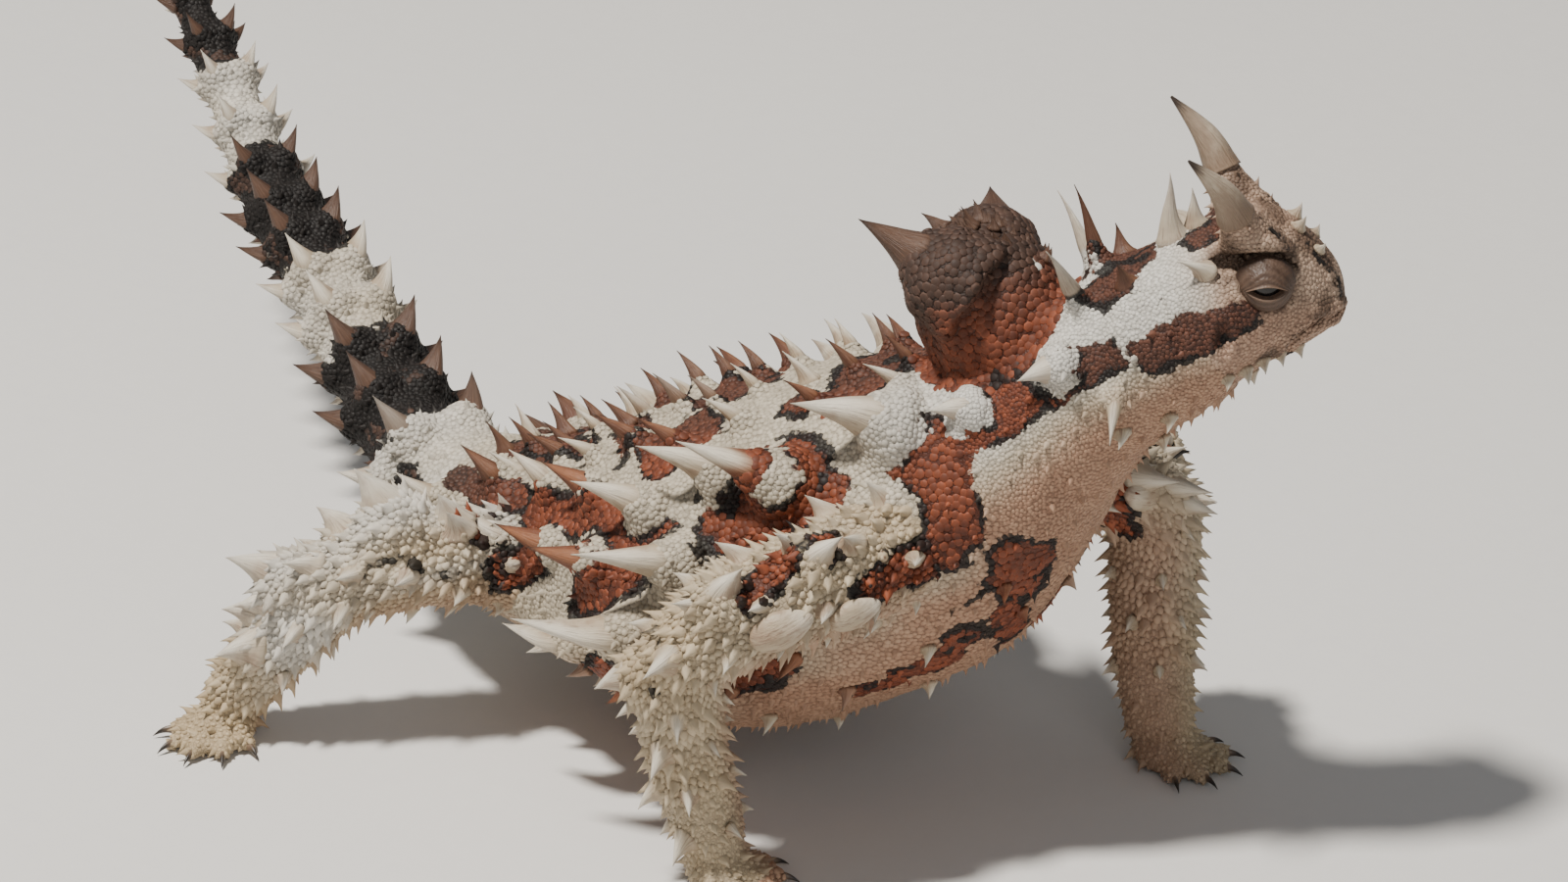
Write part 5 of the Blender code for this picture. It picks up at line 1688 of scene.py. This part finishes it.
def form_of(sides, profile, top, narrow=1.0):
    """A small shape on z = 0 from rings (radius, height, place ahead) and a top (height, place ahead)."""
    rings = []
    for index, (radius, height, ahead) in enumerate(profile):
        around = (np.arange(sides) + 0.5 * (index % 2)) * 2 * math.pi / sides
        ring = (ahead + radius * np.cos(around), narrow * radius * np.sin(around), np.full(sides, height))
        rings.append(np.stack(ring, axis=1))
    points = np.vstack(rings + [np.array([[top[1], 0.0, top[0]]])])
    faces = tube_faces(len(profile), sides, closed=False)
    first = (len(profile) - 1) * sides
    for k in range(sides):
        faces.append((first + k, first + (k + 1) % sides, len(points) - 1))
    faces.append(tuple(range(sides))[::-1])
    return points, faces


SCALE_FORM = form_of(6, [(1.08, -0.24, 0.0), (0.76, 0.16, 0.0)], (0.24, 0.0))
BEAD_FORM = form_of(7, [(1.06, -0.28, 0.0), (0.93, 0.10, 0.0), (0.62, 0.27, 0.0)], (0.34, 0.0))
KEEL_FORM = form_of(6, [(1.15, -0.30, 0.0), (0.82, 0.24, 0.10)], (0.86, 0.80), 0.86)
PRICKLE_FORM = form_of(7, [(1.35, -0.40, 0.0), (0.80, 0.30, 0.10), (0.36, 1.05, 0.50)], (2.1, 1.25))


# The coat's scales: name, form, spacing, size and how far a copy is turned by chance.
SCALES = [
    ("fine", SCALE_FORM, 0.29, 0.250, math.pi),
    ("medium", SCALE_FORM, 0.41, 0.365, math.pi),
    ("limb", KEEL_FORM, 0.56, 0.40, 0.35),
    ("coarse", BEAD_FORM, 0.54, 0.47, math.pi),
]
# Spacing, size, seed and swing of the prickles.
PRICKLES = (1.45, 0.42, 11, 0.4)


def attribute_node(nodes, name, kind="FLOAT"):
    """A value that the surface's points carry."""
    node = nodes.add("GeometryNodeInputNamedAttribute", {"data_type": kind}, {"Name": name})
    return node.outputs["Attribute"]


def random_node(nodes, low, high, seed):
    return nodes.add("FunctionNodeRandomValue", {"data_type": "FLOAT"}, {2: low, 3: high, 8: seed}).outputs[1]


def turned_node(nodes, rotation, swing):
    """The surface's rotation turned to the flow and then by chance."""
    along = nodes.add("FunctionNodeAlignRotationToVector", {"axis": "X", "pivot_axis": "Z"},
                      {"Rotation": rotation, "Vector": attribute_node(nodes, "flow", "FLOAT_VECTOR")})
    spin = nodes.add("FunctionNodeAxisAngleToRotation", {},
                     {"Axis": (0.0, 0.0, 1.0), "Angle": random_node(nodes, -swing, swing, 3)})
    turned = nodes.add("FunctionNodeRotateRotation", {"rotation_space": "LOCAL"},
                       {"Rotation": along.outputs["Rotation"], "Rotate By": spin.outputs["Rotation"]})
    return turned.outputs["Rotation"]


def product_node(nodes, a, b):
    return nodes.add("ShaderNodeMath", {"operation": "MULTIPLY"}, {0: a, 1: b}).outputs[0]


def scatter_tree(name, density, seed, material, swing):
    """Geometry Nodes: points spread over a surface, each with one turned copy of a form."""
    tree = bpy.data.node_groups.new("scatter_" + name, "GeometryNodeTree")
    sockets = (("Surface", "Geometry"), ("Form", "Object"), ("Spacing", "Float"), ("Size", "Float"))
    for word, kind in sockets:
        tree.interface.new_socket(word, in_out="INPUT", socket_type="NodeSocket" + kind)
    tree.interface.new_socket("Geometry", in_out="OUTPUT", socket_type="NodeSocketGeometry")
    nodes = Nodes(tree)
    given = nodes.add("NodeGroupInput").outputs
    spread = nodes.add("GeometryNodeDistributePointsOnFaces", {"distribute_method": "POISSON"},
                       {"Mesh": given["Surface"], "Distance Min": given["Spacing"], "Density Max": density,
                        "Density Factor": attribute_node(nodes, "room"), "Seed": seed})
    turned = turned_node(nodes, spread.outputs["Rotation"], swing)
    size = product_node(nodes, random_node(nodes, 0.84, 1.16, 5), given["Size"])
    size = product_node(nodes, size, attribute_node(nodes, "grow"))
    form = nodes.add("GeometryNodeObjectInfo", {}, {"Object": given["Form"]})
    copies = nodes.add("GeometryNodeInstanceOnPoints", {},
                       {"Points": spread.outputs["Points"], "Instance": form.outputs["Geometry"],
                        "Rotation": turned, "Scale": size})
    real = nodes.add("GeometryNodeRealizeInstances", {}, {"Geometry": copies.outputs["Instances"]})
    done = nodes.add("GeometryNodeSetMaterial", {},
                     {"Geometry": real.outputs["Geometry"], "Material": material})
    nodes.add("NodeGroupOutput", {}, {"Geometry": done.outputs["Geometry"]})
    return tree


def scattered(skin, name, form, room, grow, spacing, size, material, seed, swing=math.pi):
    """Copies of a form over the skin where room is 1: an array of copies by points, in metres."""
    surface = linked("surface_" + name, skin.data.copy())
    give_values(surface.data, {"room": room, "grow": grow})
    points, faces = form
    shape = bpy.data.meshes.new("form_" + name)
    shape.from_pydata(points.tolist(), [], faces)
    model = linked("form_" + name, shape)
    tree = scatter_tree(name, 2.5 / (spacing * MM) ** 2, seed, material, swing)
    layer = surface.modifiers.new("scatter", "NODES")
    layer.node_group = tree
    ids = {item.name: item.identifier for item in tree.interface.items_tree if item.in_out == "INPUT"}
    layer[ids["Form"]] = model
    layer[ids["Spacing"]] = spacing * MM
    layer[ids["Size"]] = size * MM
    mesh = evaluated(surface)
    copies = mesh_points(mesh).reshape(-1, len(points), 3)
    surface.modifiers.clear()
    bpy.data.objects.remove(surface)
    bpy.data.objects.remove(model)
    bpy.data.meshes.remove(mesh)
    return copies


def mesh_of_copies(name, copies, form):
    points, faces = form
    count = len(copies)
    lengths = np.array([len(face) for face in faces], np.int32)
    corners = np.concatenate([np.array(face, np.int32) for face in faces])
    mesh = bpy.data.meshes.new(name)
    mesh.vertices.add(count * len(points))
    mesh.vertices.foreach_set("co", above_floor(copies).astype(np.float32).ravel())
    mesh.loops.add(count * len(corners))
    offsets = (np.arange(count, dtype=np.int32) * len(points))[:, None]
    mesh.loops.foreach_set("vertex_index", (corners[None, :] + offsets).astype(np.int32).ravel())
    mesh.polygons.add(count * len(faces))
    starts = np.concatenate(([0], np.cumsum(np.tile(lengths, count))[:-1])).astype(np.int32)
    mesh.polygons.foreach_set("loop_start", starts)
    mesh.update(calc_edges=True)
    mesh.validate()
    return mesh


def coat_piece(name, copies, form, material):
    """One piece of the coat from its copies, with the skin's values at each copy's root."""
    points = form[0]
    mesh = mesh_of_copies(name, copies, form)
    roots = own(copies[:, :len(points) - 1].mean(axis=1))
    values, part, s, angle = marks(roots)
    values["tone"] = np.random.default_rng(SEED).uniform(0.0, 1.0, len(copies))
    stretched = {key: np.repeat(value, len(points)) for key, value in values.items()}
    rise = np.clip(points[:, 2] / points[:, 2].max(), 0.0, 1.0)
    stretched["rise"] = np.tile(rise, len(copies))
    give_values(mesh, stretched)
    spot = points[:, :2] / np.abs(points[:, :2]).max() * MAP_SPOT
    flat = unwrap(part, s, angle)[:, None, :] + spot[None, :, :]
    give_bake_map(mesh, flat.reshape(-1, 2))
    piece = made_piece(name, mesh, material)
    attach(piece, "root")


def add_pieces(name, copies, form, material):
    """The copies as pieces of at most PIECE_LIMIT triangles each."""
    limit = PIECE_LIMIT // sum(len(face) - 2 for face in form[1])
    order = np.argsort(copies[:, 0, 0], kind="stable")
    for index, chosen in enumerate(np.array_split(order, max(math.ceil(len(copies) / limit), 1))):
        if len(chosen):
            coat_piece(name + "_" + str(index + 1), copies[chosen], form, material)


# Thorns, eyes, horns and claws.

def finished_thorns(name, pile, material):
    """A piece of horn with the pattern's values at the root of each shape."""
    mesh = pile.mesh(name)
    values, part, s, angle = marks(np.vstack(pile.roots))
    values["tone"] = np.full(len(s), 0.5)
    if name == "thorns_limbs":
        values["patch"] = np.maximum(values["patch"], 1.2)
    give_values(mesh, values)
    give_bake_map(mesh, unwrap(part, s, angle) + np.vstack(pile.spread))
    piece = made_piece(name, mesh, material)
    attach(piece, "root")
    return piece


def make_thorns(material):
    for word, thorns in THORNS.items():
        pile = Pile()
        for seed, thorn in enumerate(thorns):
            if thorn.shield:
                thorn.add_shield(pile)
            else:
                thorn.add_to(pile, seed)
        finished_thorns("thorns_" + word, pile, material)


def brow_horn_ring(line, s, share, around):
    """One ring of a brow horn, a little ridged and swollen at the foot, and its strands' places."""
    points = line.points(np.full(len(around), s), np.degrees(around))
    centre = line.frames(s)[0][0]
    ridge = 1.0 + (0.025 * np.sin(5 * around + 2 * s) + 0.012 * np.sin(9 * around - s)) * (1 - share)
    growth = 1.0 + 0.006 * math.sin(s * 17.0 + math.sin(s * 5.0)) * (1 - share)
    foot = 0.985 + 0.07 * math.exp(-16.0 * share)
    strand = (8 * np.cos(around), 8 * np.sin(around), np.full(len(around), 5.0 * share))
    return centre + (points - centre) * (ridge * growth * foot)[:, None], np.stack(strand, axis=1)


def make_brow_horns(material):
    around = turns(HORN_SIDES)
    places = np.linspace(*HORN_SPAN, 40)
    shares = (places - places[0]) / (places[-1] - places[0])
    circle = np.stack((np.cos(around), np.sin(around)), axis=1)
    for side, word in SIDES:
        line = horn_line(side)
        rings = [brow_horn_ring(line, s, share, around) for s, share in zip(places, shares)]
        pile = Pile()
        pile.add([ring for ring, strand in rings], rings[0][0].mean(axis=0),
                 np.tile(circle, (len(rings), 1)) * MAP_SPOT, along=np.repeat(shares, HORN_SIDES),
                 strand=np.vstack([strand for ring, strand in rings]))
        piece = finished_thorns("brow_horn_" + word, pile, material)
        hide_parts("horn_" + word)


def make_eyes(material):
    for side, word in SIDES:
        centre = eye_centre(side)
        gaze = HEAD_LEFT * side
        pile = Pile()
        add_ball(pile, centre, (EYE_RADIUS,) * 3, (HEAD_AHEAD, HEAD_UP, gaze), 48, 30)
        level = (pile.points[0] - centre) @ gaze / EYE_RADIUS
        pile.values["gaze"] = [np.where(level > 0.0, np.sqrt(np.maximum(1 - level ** 2, 0.0)), 1.0)]
        piece = made_piece("eyeball_" + word, pile.mesh("eyeball_" + word), material)
        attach(piece, "root")
        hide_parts("eye_" + word)


def slit_reach(turn):
    """How far the slit between the lids opens from its middle in one direction."""
    width, height = LID_SLIT
    a = height * math.cos(turn) ** 2 / width ** 2
    b = abs(math.sin(turn))
    if a < 1e-6:
        return height / b
    return (-b + math.sqrt(b * b + 4 * a * height)) / (2 * a)


def lid_point(r, share, turn):
    """A point of the lids as shares ahead, up and outwards, its reach and its wave from -1 to 1."""
    start = slit_reach(turn)
    outer = LID_RADIUS * math.sin(math.radians(LID_EDGE))
    rho = start + (outer - start) * share
    upper = math.sin(turn) > 0
    wave = math.sin(share ** 0.9 * LID_WAVES[0 if upper else 1] + 0.9 * math.sin(3 * turn))
    reach = LID_RADIUS + 0.022 * wave * math.sin(math.pi * min(share * 1.15, 1.0))
    reach += 0.13 * math.exp(-(share / 0.07) ** 2)
    if upper:
        reach += 0.16 * smoothstep(0.75, 1.0, share)
    if r == 0:
        reach = EYE_RADIUS - 0.10
    elif r == 1:
        reach = 0.5 * (LID_RADIUS + EYE_RADIUS) + 0.05
    wide = rho / LID_RADIUS
    level = math.sqrt(max(1.0 - wide ** 2, 0.0))
    return reach * np.array((math.cos(turn) * wide, math.sin(turn) * wide, level)), wave


def make_lids(material):
    """Wrinkled lids closed to a slit, each a bowl over the eye."""
    sides, rings = 96, 44
    shares = np.maximum((np.arange(rings + 1) - 2) / (rings - 2), 0.0)
    rows = [lid_point(r, share, turn) for r, share in enumerate(shares) for turn in turns(sides)]
    fold = np.array([0.5 + 0.5 * wave for place, wave in rows])
    for side, word in SIDES:
        axes = np.array((HEAD_AHEAD, HEAD_UP, HEAD_LEFT * side))
        points = eye_centre(side) + np.array([place for place, wave in rows]) @ axes
        pile = Pile()
        pile.add(np.split(points, rings + 1), closed=False, rim=np.repeat(shares, sides), fold=fold)
        piece = made_piece("eyelid_" + word, pile.mesh("eyelid_" + word), material)
        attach(piece, "root")


def add_claw(pile, start, way, length):
    """A small curved claw at the end of a toe."""
    root = start + way * (0.86 * length) + UP * 0.78
    shares = np.linspace(0.0, 1.0, 9)
    rings = []
    for t in shares:
        rise = 0.18 * math.sin(math.pi * t * 0.8) - 0.62 * t * t
        centre = root + way * (t * (CLAW_LENGTH + 0.3)) + UP * rise
        radius = max(0.46 * (1 - t) ** 0.75, 0.03)
        rings.append(ring_of(centre, np.cross(UP, way), UP, turns(12), 0.75 * radius, radius))
    for ring in rings:
        ring[:, 2] = np.maximum(ring[:, 2], CLAW_LIFT)
    pile.add(rings, root, along=np.repeat(shares, 12))


def make_claws(material):
    pile = Pile()
    for name in LIMB_ROWS:
        for start, way, length in toe_rows(name):
            add_claw(pile, start, way, length)
    piece = made_piece("claws", pile.mesh("claws"), material)
    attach(piece, "root")


# Putting it together.

SKY_COLOUR = (0.93, 0.96, 1.0, 1.0)
SKY_STRENGTH = 0.19
# Lights: name, direction, distance and size in metres, power and colour.
LIGHTS = [
    ("key", (-0.136, -0.353, 1.0), 0.9, 0.10, 14.5, (1.0, 0.955, 0.89)),
    ("fill", (0.75, -0.65, 0.45), 1.2, 0.9, 2.4, (0.95, 0.97, 1.0)),
]
LIT_PLACE = (0.0, 0.0, 0.03)
CAMERA_PLACE = (345.1, -478.1, 304.3)
CAMERA_TARGET = (7.2, 4.5, 29.65)
LENS = 160.9
SENSOR = 36.0


def bare_spots():
    """Balls without scales: small thorns, shields, eyes, nostrils and ears."""
    thorns = [thorn for thorn in OFF_THE_KNOB if not thorn.skirt and thorn.radius > 0.7]
    spots = [(thorn.root, (0.95 if thorn.shield else 0.55) * thorn.radius) for thorn in thorns]
    for side in (-1, 1):
        spots.append((eye_centre(side), LID_RADIUS + 0.10))
        spots.append((head_spot(NOSTRIL, side), 0.55))
        spots.append((head_spot(EAR, side), 0.9))
    return spots


def skin_room(points, climb):
    """Where scales may stand and how big they grow: masks of the skin's points."""
    bare = climb + 0.16 * ripple(points, 1.0, SEED + 50) > 1.0
    bare |= mouth_distance(points) < MOUTH_CLEARANCE
    bare |= points[:, 2] < FLOOR_CLEARANCE
    for centre, radius in bare_spots():
        bare |= distance(points, centre) < radius
    return np.where(bare, 0.0, 1.0), 1.0 + 0.12 * smoothstep(0.0, 0.25, climb)


def flow_of(part, s):
    """Which way pointed scales lean: to the tail on the body, to the hand or foot on a limb."""
    flow = np.zeros((len(s), 3))
    for index, name in enumerate(PARTS):
        mine = part == index
        if mine.any():
            ahead = LINES[name].frames(s[mine])[1]
            flow[mine] = ahead if index > 1 else -ahead
    return flow


def scale_masks(values, part, s):
    """Which points of the skin carry each kind of scale."""
    body = part == 0
    limb = part > 1
    knob = values["knob"] > 0.5
    neck = body & (s > 17.2) & ~knob
    trunk = body & (s < 17.6) & (s > TRUNK_START)
    coarse = (trunk & (values["patch"] < -0.9) & (values["brown"] < 0.6)) | knob
    fine = ((part == 1) | neck) & ~coarse
    return {"fine": fine, "medium": ~fine & ~coarse & ~limb, "limb": limb, "coarse": coarse}


def prickle_masks(points, part, s, angle):
    """How densely prickles stand on the skin, and how big they grow."""
    body = part == 0
    limb = part > 1
    horn_front = (part == 1) & ((points - np.array(HEAD_PLACE))[:, 2] > 5.2)
    room = np.where(limb, np.where(sheltered_of(part, angle) < 0.8, 1.0, 0.3), 0.0)
    for mask, share in ((body & (np.abs(angle) > 62), 0.6), (body & (s < 9.5), 0.8), (horn_front, 1.0)):
        room = np.maximum(room, mask * share)
    size = np.where(horn_front, 0.7, np.where(limb, 1.6, 0.85))
    return room, size * np.where(limb & (s > FOOT_START), 0.7, 1.0)


def make_coat(skin, material):
    points = own(mesh_points(skin.data))
    values, part, s, angle = marks(points)
    free, grow = skin_room(points, values["climb"])
    gap = mouth_distance(points)
    ahead = (points - np.array(HEAD_PLACE)) @ HEAD_AHEAD
    # A near-black line along the mouth: painted shade in the mouth's crease.
    values["ink_and_mouth_shade"] = np.minimum(values["ink_and_mouth_shade"], gap - 0.16)
    values["lip"] = (1 - smoothstep(0.5, 1.7, gap)) * smoothstep(1.0, 4.0, ahead)
    values["flow"] = flow_of(part, s)
    give_values(skin.data, values)
    limb = part > 1
    grow = np.where(limb, grow * (1.0 + 0.75 * np.maximum(ripple(points, 2.6, SEED + 51), 0.0)), grow)
    grow = np.where(limb & (s > FOOT_START), 0.72, grow)
    quick = 1.0
    masks = scale_masks(values, part, s)
    for seed, (name, form, spacing, size, swing) in enumerate(SCALES):
        copies = scattered(skin, name, form, free * masks[name], grow, spacing * quick, size * quick,
                           material, seed, swing)
        add_pieces("scales_" + name, copies, form, material)
    room, grow = prickle_masks(points, part, s, angle)
    spacing, size, seed, swing = PRICKLES
    copies = scattered(skin, "prickle", PRICKLE_FORM, room * free, grow, spacing * quick, size, material,
                       seed, swing)
    add_pieces("prickles", copies, PRICKLE_FORM, material)


def flesh_nodes():
    return [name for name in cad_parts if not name.startswith(("eye_", "horn_"))]


def make_stage():
    bpy.ops.mesh.primitive_plane_add(size=6.0)
    floor = bpy.context.object
    floor.name = "floor"
    floor.data.materials.append(floor_material())
    world = bpy.data.worlds.new("studio")
    world.use_nodes = True
    sky = world.node_tree.nodes["Background"].inputs
    sky["Color"].default_value = SKY_COLOUR
    sky["Strength"].default_value = SKY_STRENGTH
    bpy.context.scene.world = world
    for row in LIGHTS:
        add_light(*row)


def aimed(made, place, target):
    """The light or camera put in the scene and turned to its target."""
    bpy.context.scene.collection.objects.link(made)
    made.location = place
    made.rotation_euler = (target - place).to_track_quat("-Z", "Y").to_euler()


def add_light(name, way, distance, size, power, colour):
    lamp = bpy.data.lights.new(name, "AREA")
    lamp.shape = "DISK"
    lamp.size = size
    lamp.energy = power
    lamp.color = colour
    middle = Vector(LIT_PLACE)
    aimed(bpy.data.objects.new(name, lamp), middle + Vector(way).normalized() * distance, middle)


def make_camera():
    lens = bpy.data.cameras.new("camera")
    lens.lens = LENS
    lens.sensor_width = SENSOR
    lens.clip_start = 0.01
    camera = bpy.data.objects.new("camera", lens)
    aimed(camera, Vector(placed(CAMERA_PLACE)), Vector(placed(CAMERA_TARGET)))
    bpy.context.scene.camera = camera


def main():
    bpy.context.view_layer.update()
    skin = make_skin(skin_material())
    make_coat(skin, scale_material())
    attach(skin, "root")
    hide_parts(*flesh_nodes())
    make_thorns(thorn_material())
    make_brow_horns(brow_horn_material())
    make_eyes(eye_material())
    make_lids(lid_material())
    make_claws(claw_material())
    make_stage()
    make_camera()


main()
